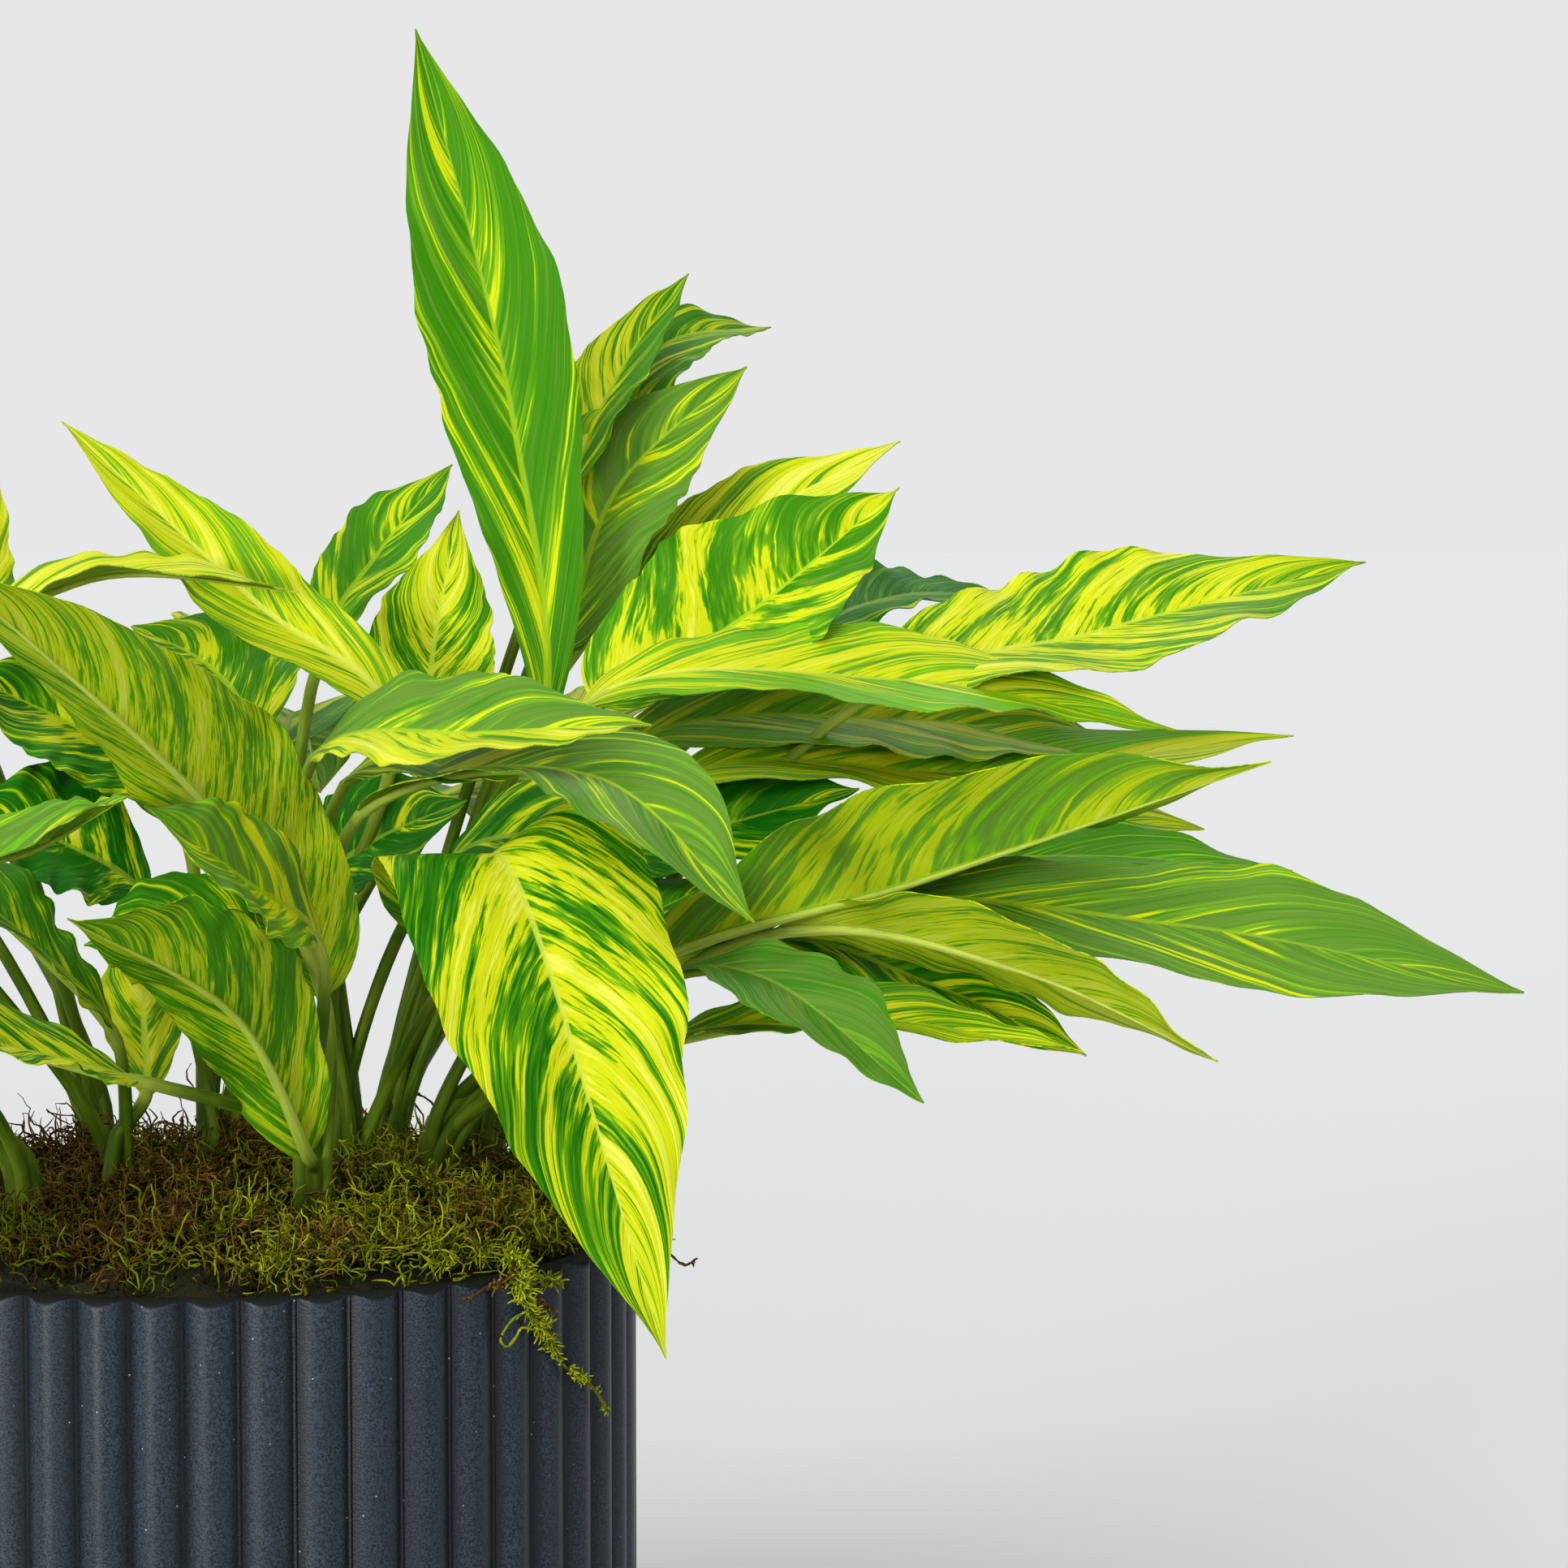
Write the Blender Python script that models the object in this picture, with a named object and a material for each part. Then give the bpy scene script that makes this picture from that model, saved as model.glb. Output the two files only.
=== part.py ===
"""Variegated strap-leaved plant in a round ribbed pot, topped with moss.

The pot stands on z = 0 with its axis on the Z axis. +X is the side of the long
arching leaves and -Y is the side of the one big leaf that hangs over the rim.
"""

import math

import bmesh
import bpy
import numpy as np

# Pot: an upright cylinder of convex ribs with a plain bore
POT_RADIUS = 0.150
POT_HEIGHT = 0.260
RIBS = 48
RIB_DEPTH = 0.0042
RIB_STEPS = 4
RIM_ROUNDING = 0.0025
FOOT_ROUNDING = 0.0030
BORE_RADIUS = 0.136
FLOOR_THICKNESS = 0.018

# What fills the pot
CLEARANCE = 0.0003
SOIL_TOP = 0.240
MOSS_EDGE = 0.254
MOSS_CROWN = 0.278
MOSS_RELIEF = 0.0045
MOSS_RINGS = 7
MOSS_SECTORS = 36
MOSS_SEED = 17

# Canes: the short woody foot that the petioles of one stem leave from
CANE_RADIUS = 0.0085
CANE_SIDES = 10
CANE_BOTTOM = 0.200
CANE_TOP = 0.304

# Leaves
PETIOLE_RADIUS = 0.0027
BLADE_THICKNESS = 0.0008
KEEL_AT_NECK = 0.0022
KEEL_AT_TIP = 0.0004
PETIOLE_RINGS = 3
BLADE_RINGS = 9
WAVES_ALONG = 2.6
WAVE_HEIGHT = 0.035
TIP_HALF_WIDTH = 0.0009
MM = 0.001

# Design of the leaves

# Stem: the place of its cane on the soil, in mm, then its leaves. Leaf: base, middle and tip of
# the blade in mm, full width in mm, roll at the base and at the tip of the blade in degrees
# (positive turns the upper face to the right-hand side, seen from the foot), how far each half
# is folded up along the midrib in degrees, and where along the blade it is widest.
STEMS = {
    "leafy_stem_right_front": ((75, -5), [
        ((145, -40, 360), (245, -75, 395), (370, -110, 440), 80, -36, -32, 28, 0.48),
        ((200, -35, 380), (345, -80, 378), (465, -110, 355), 60, 38, 46, 10, 0.60),
        ((190, -15, 385), (305, -30, 400), (395, -45, 395), 52, 22, 20, 14, 0.50),
        ((200, -50, 375), (280, -95, 365), (345, -135, 335), 52, -46, -36, 10, 0.50),
        ((195, -30, 370), (255, -55, 355), (310, -75, 330), 50, 34, 36, 12, 0.50),
        ((150, -55, 335), (220, -100, 348), (295, -140, 340), 50, 16, 10, 12, 0.45),
        ((150, -65, 360), (185, -120, 365), (230, -190, 330), 50, 8, 14, 12, 0.50),
        ((115, -15, 365), (148, -10, 375), (185, -5, 392), 44, 20, 20, 14, 0.50),
    ]),
    "leafy_stem_right": ((95, 25), [
        ((245, 35, 458), (340, 60, 482), (460, 90, 510), 80, 28, 34, 14, 0.44),
        ((130, 5, 455), (255, 20, 465), (365, 20, 445), 60, 30, 28, 12, 0.50),
        ((140, 40, 455), (195, 60, 485), (265, 80, 540), 88, 34, 44, 22, 0.45),
        ((145, 40, 435), (260, 60, 448), (370, 75, 430), 68, 34, 32, 12, 0.50),
        ((165, 20, 425), (290, 45, 428), (425, 70, 440), 54, 30, 26, 12, 0.45),
        ((205, 15, 385), (300, 30, 410), (380, 35, 405), 58, 20, 26, 12, 0.60),
        ((130, 18, 392), (180, 14, 408), (238, 8, 424), 60, 40, 36, 12, 0.50),
    ]),
    "leafy_stem_back_right": ((60, 70), [
        ((120, 55, 440), (111, 85, 565), (75, 130, 725), 61, 10, 6, 14, 0.56),
        ((135, 110, 540), (160, 140, 590), (190, 170, 630), 38, 10, 20, 20, 0.45),
        ((155, 130, 555), (180, 170, 600), (230, 210, 610), 40, 30, 30, 16, 0.45),
        ((130, 90, 475), (155, 112, 540), (210, 132, 590), 64, 38, 42, 14, 0.45),
        ((140, 96, 480), (187, 118, 514), (275, 140, 560), 50, 32, 36, 12, 0.48),
        ((225, 110, 475), (275, 150, 495), (330, 190, 495), 52, 20, 16, 14, 0.45),
        ((130, 145, 430), (200, 235, 450), (270, 325, 420), 70, 0, 0, 14, 0.48),
        ((150, 130, 385), (255, 195, 385), (350, 250, 350), 62, 10, 10, 14, 0.48),
    ]),
    "leafy_stem_front": ((42, 0), [
        ((82, -38, 368), (93, -112, 408), (145, -165, 240), 96, 10, 22, 10, 0.42),
        ((45, -50, 420), (125, -100, 436), (175, -170, 390), 58, 14, 24, 16, 0.50),
        ((28, -45, 440), (90, -90, 451), (145, -120, 455), 57, 36, 32, 16, 0.42),
        ((40, -30, 430), (90, -55, 440), (145, -75, 438), 50, 26, 24, 10, 0.50),
        ((80, -10, 400), (130, -30, 410), (165, -50, 410), 54, 38, 34, 14, 0.45),
    ]),
    "leafy_stem_front_left": ((27, -60), [
        ((32, -42, 352), (-2, -85, 417), (-100, -150, 515), 76, 44, 40, 40, 0.42),
        ((30, -80, 375), (5, -115, 400), (-30, -150, 430), 50, -74, -66, 20, 0.50),
        ((25, -85, 300), (0, -125, 355), (-55, -180, 395), 64, 40, 30, 36, 0.50),
        ((-35, -130, 335), (-75, -160, 350), (-110, -200, 365), 54, -24, -24, 14, 0.45),
        ((12, -64, 368), (-18, -64, 382), (-54, -58, 374), 44, -44, -40, 14, 0.50),
    ]),
    "leafy_stem_centre": ((-8, 15), [
        ((60, 30, 450), (10, 50, 494), (-65, 70, 565), 42, -38, -30, 18, 0.45),
        ((5, 50, 445), (-10, 80, 470), (-40, 100, 485), 50, -20, -20, 16, 0.50),
        ((-34, 24, 384), (-62, 18, 404), (-102, 10, 420), 70, -42, -36, 14, 0.50),
        ((28, 26, 384), (52, 22, 404), (88, 18, 420), 58, 44, 38, 14, 0.50),
        ((-22, 40, 416), (-54, 42, 444), (-106, 44, 470), 62, -40, -34, 14, 0.50),
    ]),
    "leafy_stem_middle_left": ((-45, -15), [
        ((-45, -28, 340), (-70, -40, 370), (-130, -50, 422), 64, -26, -26, 14, 0.50),
        ((-108, -65, 398), (-70, -95, 412), (-36, -125, 432), 46, 48, 40, 16, 0.50),
        ((-34, -10, 312), (-34, -6, 345), (-32, 0, 385), 34, 20, 10, 10, 0.50),
    ]),
    "leafy_stem_left_front": ((-78, -48), [
        ((-160, -85, 365), (-250, -140, 385), (-360, -190, 350), 78, -30, -40, 14, 0.50),
        ((-140, -110, 400), (-215, -190, 430), (-300, -270, 420), 68, -20, -20, 14, 0.48),
        ((-115, -115, 355), (-165, -190, 365), (-220, -280, 325), 62, -14, -20, 14, 0.48),
        ((-150, -75, 330), (-230, -105, 330), (-320, -130, 295), 56, -20, -30, 12, 0.45),
        ((-115, -115, 325), (-155, -185, 318), (-195, -250, 280), 54, 0, -10, 12, 0.45),
    ]),
    "leafy_stem_left": ((-95, 10), [
        ((-105, 20, 470), (-55, 20, 505), (25, 15, 500), 40, 10, 10, 16, 0.45),
        ((-190, 0, 395), (-310, -10, 415), (-440, -20, 385), 80, -20, -30, 14, 0.50),
        ((-150, 10, 450), (-230, 10, 510), (-330, 20, 530), 66, -24, -20, 14, 0.48),
        ((-170, 30, 350), (-270, 45, 350), (-370, 60, 315), 58, -10, -20, 12, 0.45),
        ((-165, -20, 430), (-275, -45, 465), (-385, -70, 460), 68, -26, -26, 14, 0.48),
        ((-130, 35, 480), (-170, 55, 560), (-230, 75, 625), 60, -20, -16, 16, 0.50),
    ]),
    "leafy_stem_back_left": ((-55, 70), [
        ((-102, 60, 455), (-106, 80, 505), (-92, 98, 550), 46, -30, -20, 16, 0.50),
        ((-150, 130, 430), (-220, 190, 450), (-300, 250, 420), 70, -10, -10, 14, 0.48),
        ((-110, 150, 460), (-150, 230, 500), (-210, 310, 510), 66, 0, 0, 14, 0.48),
        ((-150, 110, 370), (-250, 160, 370), (-350, 200, 335), 62, -14, -20, 14, 0.45),
        ((-115, 130, 480), (-165, 180, 560), (-215, 225, 615), 60, -10, -10, 16, 0.50),
        ((-100, 170, 380), (-130, 270, 385), (-160, 360, 350), 58, 0, 0, 12, 0.48),
    ]),
    "leafy_stem_back": ((10, 95), [
        ((35, 110, 475), (60, 130, 515), (90, 150, 550), 44, 20, 20, 14, 0.50),
        ((72, 76, 425), (79, 88, 476), (90, 102, 531), 56, 74, 70, 14, 0.40),
        ((20, 180, 430), (30, 290, 440), (40, 390, 400), 76, 0, 0, 14, 0.48),
        ((-15, 180, 440), (-40, 270, 458), (-60, 350, 435), 64, 8, 8, 14, 0.48),
        ((60, 190, 395), (110, 290, 405), (150, 380, 365), 62, -8, -8, 14, 0.48),
        ((10, 160, 440), (0, 220, 478), (-15, 275, 480), 58, 4, 4, 16, 0.50),
        ((0, 180, 355), (-20, 280, 345), (-50, 365, 305), 56, 4, 4, 12, 0.48),
    ]),
}


def unit(vector):
    return vector / max(np.linalg.norm(vector), 1e-12)


def spline(points, steps):
    """Points along a centripetal Catmull-Rom curve, `steps[i]` spans on its piece i."""
    points = np.array(points, float)
    knots = np.concatenate(
        ([0], np.cumsum(np.linalg.norm(np.diff(points, axis=0), axis=1) ** 0.5)))
    out = []
    for piece in range(1, len(points) - 2):
        p, k = points[piece - 1:piece + 3], knots[piece - 1:piece + 3]
        count = steps[piece - 1]
        last = piece == len(points) - 3
        for t in np.linspace(k[1], k[2], count + 1)[:count + last]:
            a = [((k[i + 1] - t) * p[i] + (t - k[i]) * p[i + 1]) / (k[i + 1] - k[i]) for i in range(3)]
            b = [((k[i + 2] - t) * a[i] + (t - k[i]) * a[i + 1]) / (k[i + 2] - k[i]) for i in range(2)]
            out.append(((k[2] - t) * b[0] + (t - k[1]) * b[1]) / (k[2] - k[1]))
    return np.array(out)


def spine_of(foot, leaf, petiole_rings, blade_rings):
    """The line from inside the cane to the tip of the leaf, evenly stepped on each part."""
    neck, crown, tip = (np.array(p, float) * MM for p in leaf[:3])
    before = foot - np.array([0, 0, 0.5 * np.linalg.norm(neck - foot)])
    after = tip + 0.6 * (tip - crown)
    fine = 24
    line = spline([before, foot, neck, crown, tip, after], [fine] * 3)
    lengths = np.concatenate(([0], np.cumsum(np.linalg.norm(np.diff(line, axis=0), axis=1))))
    at = np.concatenate((np.linspace(0, lengths[fine], petiole_rings + 1)[:-1],
                         np.linspace(lengths[fine], lengths[-1], blade_rings + 1)))
    return np.stack([np.interp(at, lengths, line[:, axis]) for axis in range(3)], axis=1)


def frames_of(line, heading, rolls, petiole_rings):
    """Tangent, side and upper-face normal at each point of the line."""
    tangents = np.gradient(line, axis=0)
    rights, ups = [], []
    blade = len(line) - 1 - petiole_rings
    for i, tangent in enumerate(tangents):
        tangent = unit(tangent)
        tangents[i] = tangent
        right = np.array([heading[1], -heading[0], 0.0])
        right = unit(right - right.dot(tangent) * tangent)
        up = np.cross(right, tangent)
        share = (i - petiole_rings) / blade
        roll = math.radians(rolls[0] * min(1, i / petiole_rings) if share < 0
                            else rolls[0] + (rolls[1] - rolls[0]) * share)
        rights.append(math.cos(roll) * right - math.sin(roll) * up)
        ups.append(math.cos(roll) * up + math.sin(roll) * right)
    return tangents, np.array(rights), np.array(ups)


def half_width(share, width, widest):
    """Half the width of the blade, from its base at 0 to its tip at 1."""
    share = min(max(share, 0), 1)
    bulge = math.log(0.5) / math.log(widest)
    return width / 2 * math.sin(math.pi * share ** bulge) ** (0.7 + 0.5 * share)


def leaf_points(foot, leaf, seed, petiole_rings=PETIOLE_RINGS, blade_rings=BLADE_RINGS):
    """Rings of six points: upper face from left to right, then lower face back again."""
    width, fold = leaf[3] * MM, math.radians(leaf[6])
    line = spine_of(foot, leaf, petiole_rings, blade_rings)
    tip = np.array(leaf[2], float) * MM
    heading = unit(np.array([tip[0] - foot[0], tip[1] - foot[1], 0]))
    tangents, rights, ups = frames_of(line, heading, leaf[4:6], petiole_rings)
    draw = np.random.default_rng(seed)
    phases = draw.uniform(0, 2 * math.pi, 2)
    rings = []
    for i, centre in enumerate(line):
        share = (i - petiole_rings) / blade_rings
        blade = half_width(share, width, leaf[7]) if share > 0 else 0
        stalk = PETIOLE_RADIUS * min(max(1 - 2.5 * share, 0), 1)
        half = max(math.hypot(blade, stalk), TIP_HALF_WIDTH)
        folded = fold * min(max(4 * share, 0), 1)
        keel = KEEL_AT_NECK + (KEEL_AT_TIP - KEEL_AT_NECK) * min(max(share, 0), 1)
        keel += max(0, -share * blade_rings / petiole_rings) * 0.0006
        thick = BLADE_THICKNESS + 2.2 * stalk * (1 - min(max(3 * share, 0), 1))
        top = []
        for side, phase in ((-1, phases[0]), (0, 0), (1, phases[1])):
            wave = WAVE_HEIGHT * width * math.sin(2 * math.pi * WAVES_ALONG * share + phase)
            wave *= abs(side) * math.sin(math.pi * min(max(share, 0), 1)) ** 0.5
            top.append(centre + rights[i] * side * half * math.cos(folded)
                       + ups[i] * (abs(side) * half * math.sin(folded) + wave + thick / 2))
        drop = [thick, thick + keel, thick]
        under = [top[k] - ups[i] * drop[k] for k in (2, 1, 0)]
        rings.append(top + under)
    return np.array(rings)


def leaf_faces(rings):
    """Triangles of the closed skin; both faces of the blade are split along the same diagonals."""
    cap = [(0, 1, 4), (0, 4, 5), (1, 2, 3), (1, 3, 4)]
    end = (rings - 1) * 6
    faces = [(a, c, b) for a, b, c in cap] + [(end + a, end + b, end + c) for a, b, c in cap]
    for i in range(rings - 1):
        for k in range(6):
            a, b = i * 6 + k, i * 6 + (k + 1) % 6
            c, d = b + 6, a + 6
            faces += [(a, b, d), (b, c, d)] if k in (0, 3) else [(a, b, c), (a, c, d)]
    return faces


def foot_of(stem, index, count):
    """Where a leaf starts inside its cane: higher on the cane from leaf to leaf."""
    x, y = (value * MM for value in STEMS[stem][0])
    angle = 2.4 * index
    reach = 0.3 * CANE_RADIUS
    height = CANE_TOP - 0.018 + 0.012 * index / max(1, count - 1)
    return np.array([x + reach * math.cos(angle), y + reach * math.sin(angle), height])


def leaves_of(stem):
    """(points, faces) of every leaf of one stem."""
    leaves = STEMS[stem][1]
    for index, leaf in enumerate(leaves):
        seed = 100 * list(STEMS).index(stem) + index
        rings = leaf_points(foot_of(stem, index, len(leaves)), leaf, seed)
        yield rings.reshape(-1, 3), leaf_faces(len(rings))

# End of the design of the leaves


def remove_startup_objects():
    for obj in list(bpy.data.objects):
        bpy.data.objects.remove(obj, do_unlink=True)


def object_of(name, points, faces, collection=None):
    mesh = bpy.data.meshes.new(name)
    mesh.from_pydata([tuple(p) for p in points], [], faces)
    mesh.validate()
    obj = bpy.data.objects.new(name, mesh)
    (collection or bpy.context.scene.collection).objects.link(obj)
    return obj


def boolean(obj, operation, collection):
    """One Boolean with every object of a collection, applied; the operands are then removed."""
    modifier = obj.modifiers.new(operation.title(), "BOOLEAN")
    modifier.operation = operation
    modifier.operand_type = "COLLECTION"
    modifier.collection = collection
    modifier.solver = "EXACT"
    bpy.context.view_layer.update()
    graph = bpy.context.evaluated_depsgraph_get()
    mesh = bpy.data.meshes.new_from_object(obj.evaluated_get(graph))
    obj.modifiers.clear()
    obj.data = mesh
    for operand in list(collection.objects):
        bpy.data.objects.remove(operand, do_unlink=True)
    bpy.data.collections.remove(collection)


def scratch_collection(name):
    collection = bpy.data.collections.new(name)
    bpy.context.scene.collection.children.link(collection)
    return collection


def ring(radius, height, count):
    angles = [2 * math.pi * i / count for i in range(count)]
    return [(radius * math.cos(a), radius * math.sin(a), height) for a in angles]


def ribbed_ring(inset, height):
    """The ribbed outline: RIBS convex ribs that meet in narrow grooves."""
    points = []
    for i in range(RIBS * RIB_STEPS):
        across = 2 * (i % RIB_STEPS) / RIB_STEPS - 1
        radius = POT_RADIUS - inset - RIB_DEPTH * across ** 2
        angle = 2 * math.pi * (i - RIB_STEPS / 2) / (RIBS * RIB_STEPS)
        points.append((radius * math.cos(angle), radius * math.sin(angle), height))
    return points


def bands(counts):
    """Faces between rings that follow one another, each a closed loop of counts[i] points."""
    faces, start = [], 0
    for lower, upper in zip(counts, counts[1:]):
        ratio = lower // upper if lower >= upper else 1
        for i in range(upper):
            a = [start + (i * ratio + j) % lower for j in range(ratio + 1)]
            b, c = start + lower + i, start + lower + (i + 1) % upper
            faces.append(tuple(a + [c, b]))
        start += lower
    return faces


def make_pot():
    sides = RIBS * RIB_STEPS
    rings = [ribbed_ring(FOOT_ROUNDING, 0), ribbed_ring(0, FOOT_ROUNDING),
             ribbed_ring(0, POT_HEIGHT - RIM_ROUNDING),
             ribbed_ring(RIM_ROUNDING, POT_HEIGHT),
             ring(BORE_RADIUS, POT_HEIGHT, sides // 2),
             ring(BORE_RADIUS, FLOOR_THICKNESS, sides // 2)]
    points = [p for loop in rings for p in loop]
    faces = bands([len(loop) for loop in rings])
    inner = len(points) - sides // 2
    faces.append(tuple(reversed(range(sides))))
    faces.append(tuple(range(inner, inner + sides // 2)))
    return object_of("pot", points, faces)


def prism(name, centre, radius, low, high, sides, collection=None):
    points = [(x + centre[0], y + centre[1], z) for height in (low, high)
              for x, y, z in ring(radius, height, sides)]
    faces = bands([sides, sides]) + [tuple(reversed(range(sides))), tuple(range(sides, 2 * sides))]
    return object_of(name, points, faces, collection)


def cane_cutters(name):
    """Pegs a little wider than the canes, to cut plain holes for them."""
    collection = scratch_collection(name)
    for stem, ((x, y), _) in STEMS.items():
        cutter = prism(stem + "_cutter", (x * MM, y * MM), CANE_RADIUS + 2 * CLEARANCE,
                       CANE_BOTTOM - CLEARANCE, CANE_TOP + CANE_RADIUS, CANE_SIDES, collection)
        cutter.hide_render = True
        cutter.display_type = "WIRE"
    return collection


def make_soil():
    soil = prism("soil", (0, 0), BORE_RADIUS - CLEARANCE, FLOOR_THICKNESS + CLEARANCE, SOIL_TOP,
                 RIBS)
    boolean(soil, "DIFFERENCE", cane_cutters("soil_cutters"))
    return soil


def make_moss():
    """A loose cushion: flat below, mounded and uneven above."""
    draw = np.random.default_rng(MOSS_SEED)
    edge = BORE_RADIUS - 2 * CLEARANCE
    points = ring(edge, SOIL_TOP + CLEARANCE, MOSS_SECTORS)
    counts = [MOSS_SECTORS]
    for k in range(MOSS_RINGS):
        out = 1 - k / MOSS_RINGS
        height = MOSS_EDGE + (MOSS_CROWN - MOSS_EDGE) * (1 - out ** 2) ** 0.7
        loop = np.array(ring(edge * out, height, MOSS_SECTORS))
        if k:
            loop[:, 2] += draw.uniform(-1, 1, MOSS_SECTORS) * MOSS_RELIEF
        points += [tuple(p) for p in loop]
        counts.append(MOSS_SECTORS)
    faces = bands(counts)
    start = len(points) - MOSS_SECTORS
    points.append((0, 0, MOSS_CROWN))
    faces += [(start + i, start + (i + 1) % MOSS_SECTORS, len(points) - 1) for i in range(MOSS_SECTORS)]
    faces.append(tuple(reversed(range(MOSS_SECTORS))))
    moss = object_of("moss", points, faces)
    boolean(moss, "DIFFERENCE", cane_cutters("moss_cutters"))
    return moss


def keep_largest_shell(obj):
    """Takes out the small closed pockets and scraps that a union of crossing leaves can leave."""
    shape = bmesh.new()
    shape.from_mesh(obj.data)
    left, shells = set(shape.faces), []
    while left:
        queue = [left.pop()]
        shell = set(queue)
        while queue:
            for edge in queue.pop().edges:
                fresh = [face for face in edge.link_faces if face in left]
                left.difference_update(fresh)
                shell.update(fresh)
                queue += fresh
        shells.append(shell)
    shells.sort(key=len)
    for shell in shells[:-1]:
        bmesh.ops.delete(shape, geom=list(shell), context="FACES")
    shape.to_mesh(obj.data)
    shape.free()


def make_stem(stem):
    """One cane with all its leaves, joined into one body."""
    (x, y), _ = STEMS[stem]
    loops = [(CANE_RADIUS, CANE_BOTTOM), (CANE_RADIUS, CANE_TOP - 0.006), (0.6 * CANE_RADIUS, CANE_TOP)]
    points = [(px + x * MM, py + y * MM, pz) for radius, height in loops
              for px, py, pz in ring(radius, height, CANE_SIDES)]
    faces = bands([CANE_SIDES] * len(loops))
    faces.append(tuple(reversed(range(CANE_SIDES))))
    faces.append(tuple(range(len(points) - CANE_SIDES, len(points))))
    cane = object_of(stem, points, faces)
    leaves = scratch_collection(stem + "_leaves")
    for points, faces in leaves_of(stem):
        object_of(stem + "_leaf", points, faces, leaves)
    boolean(cane, "UNION", leaves)
    keep_largest_shell(cane)
    return cane


def give_material(obj, name, colour, roughness, metallic=0.0):
    material = bpy.data.materials.new(name)
    material.use_nodes = True
    shader = material.node_tree.nodes["Principled BSDF"]
    shader.inputs["Base Color"].default_value = (*colour, 1)
    shader.inputs["Roughness"].default_value = roughness
    shader.inputs["Metallic"].default_value = metallic
    obj.data.materials.clear()
    obj.data.materials.append(material)


def smooth(obj, angle=math.radians(35)):
    obj.data.shade_smooth()
    obj.data.set_sharp_from_angle(angle=angle)


def main():
    remove_startup_objects()
    pot, soil, moss = make_pot(), make_soil(), make_moss()
    give_material(pot, "navy_glaze", (0.030, 0.038, 0.055), 0.45)
    give_material(soil, "dark_soil", (0.045, 0.030, 0.020), 0.95)
    give_material(moss, "dry_moss", (0.10, 0.11, 0.02), 0.95)
    for obj in (pot, soil, moss):
        smooth(obj)
    for stem in STEMS:
        obj = make_stem(stem)
        give_material(obj, stem, (0.20, 0.42, 0.03), 0.40)
        smooth(obj, math.radians(60))


main()
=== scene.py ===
"""Dressing for the potted striped-leaved plant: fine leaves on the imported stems, the ribbed
glazed pot, loose moss, and the pale studio round them. Metres, +Z up."""

import math

import bmesh
import bpy
import numpy as np
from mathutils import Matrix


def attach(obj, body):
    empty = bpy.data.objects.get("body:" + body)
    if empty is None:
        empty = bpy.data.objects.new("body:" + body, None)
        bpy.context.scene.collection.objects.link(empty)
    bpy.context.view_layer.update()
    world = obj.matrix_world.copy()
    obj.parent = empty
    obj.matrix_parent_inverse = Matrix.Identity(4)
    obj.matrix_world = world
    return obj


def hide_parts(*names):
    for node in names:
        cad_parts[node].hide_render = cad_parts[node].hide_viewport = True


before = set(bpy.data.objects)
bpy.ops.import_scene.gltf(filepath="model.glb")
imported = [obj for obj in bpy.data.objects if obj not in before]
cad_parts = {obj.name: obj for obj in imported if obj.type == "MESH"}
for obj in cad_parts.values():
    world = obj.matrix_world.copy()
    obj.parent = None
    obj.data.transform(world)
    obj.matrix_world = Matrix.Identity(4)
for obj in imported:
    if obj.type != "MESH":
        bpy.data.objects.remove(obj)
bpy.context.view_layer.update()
MM = 0.001

# Leaves

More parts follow.
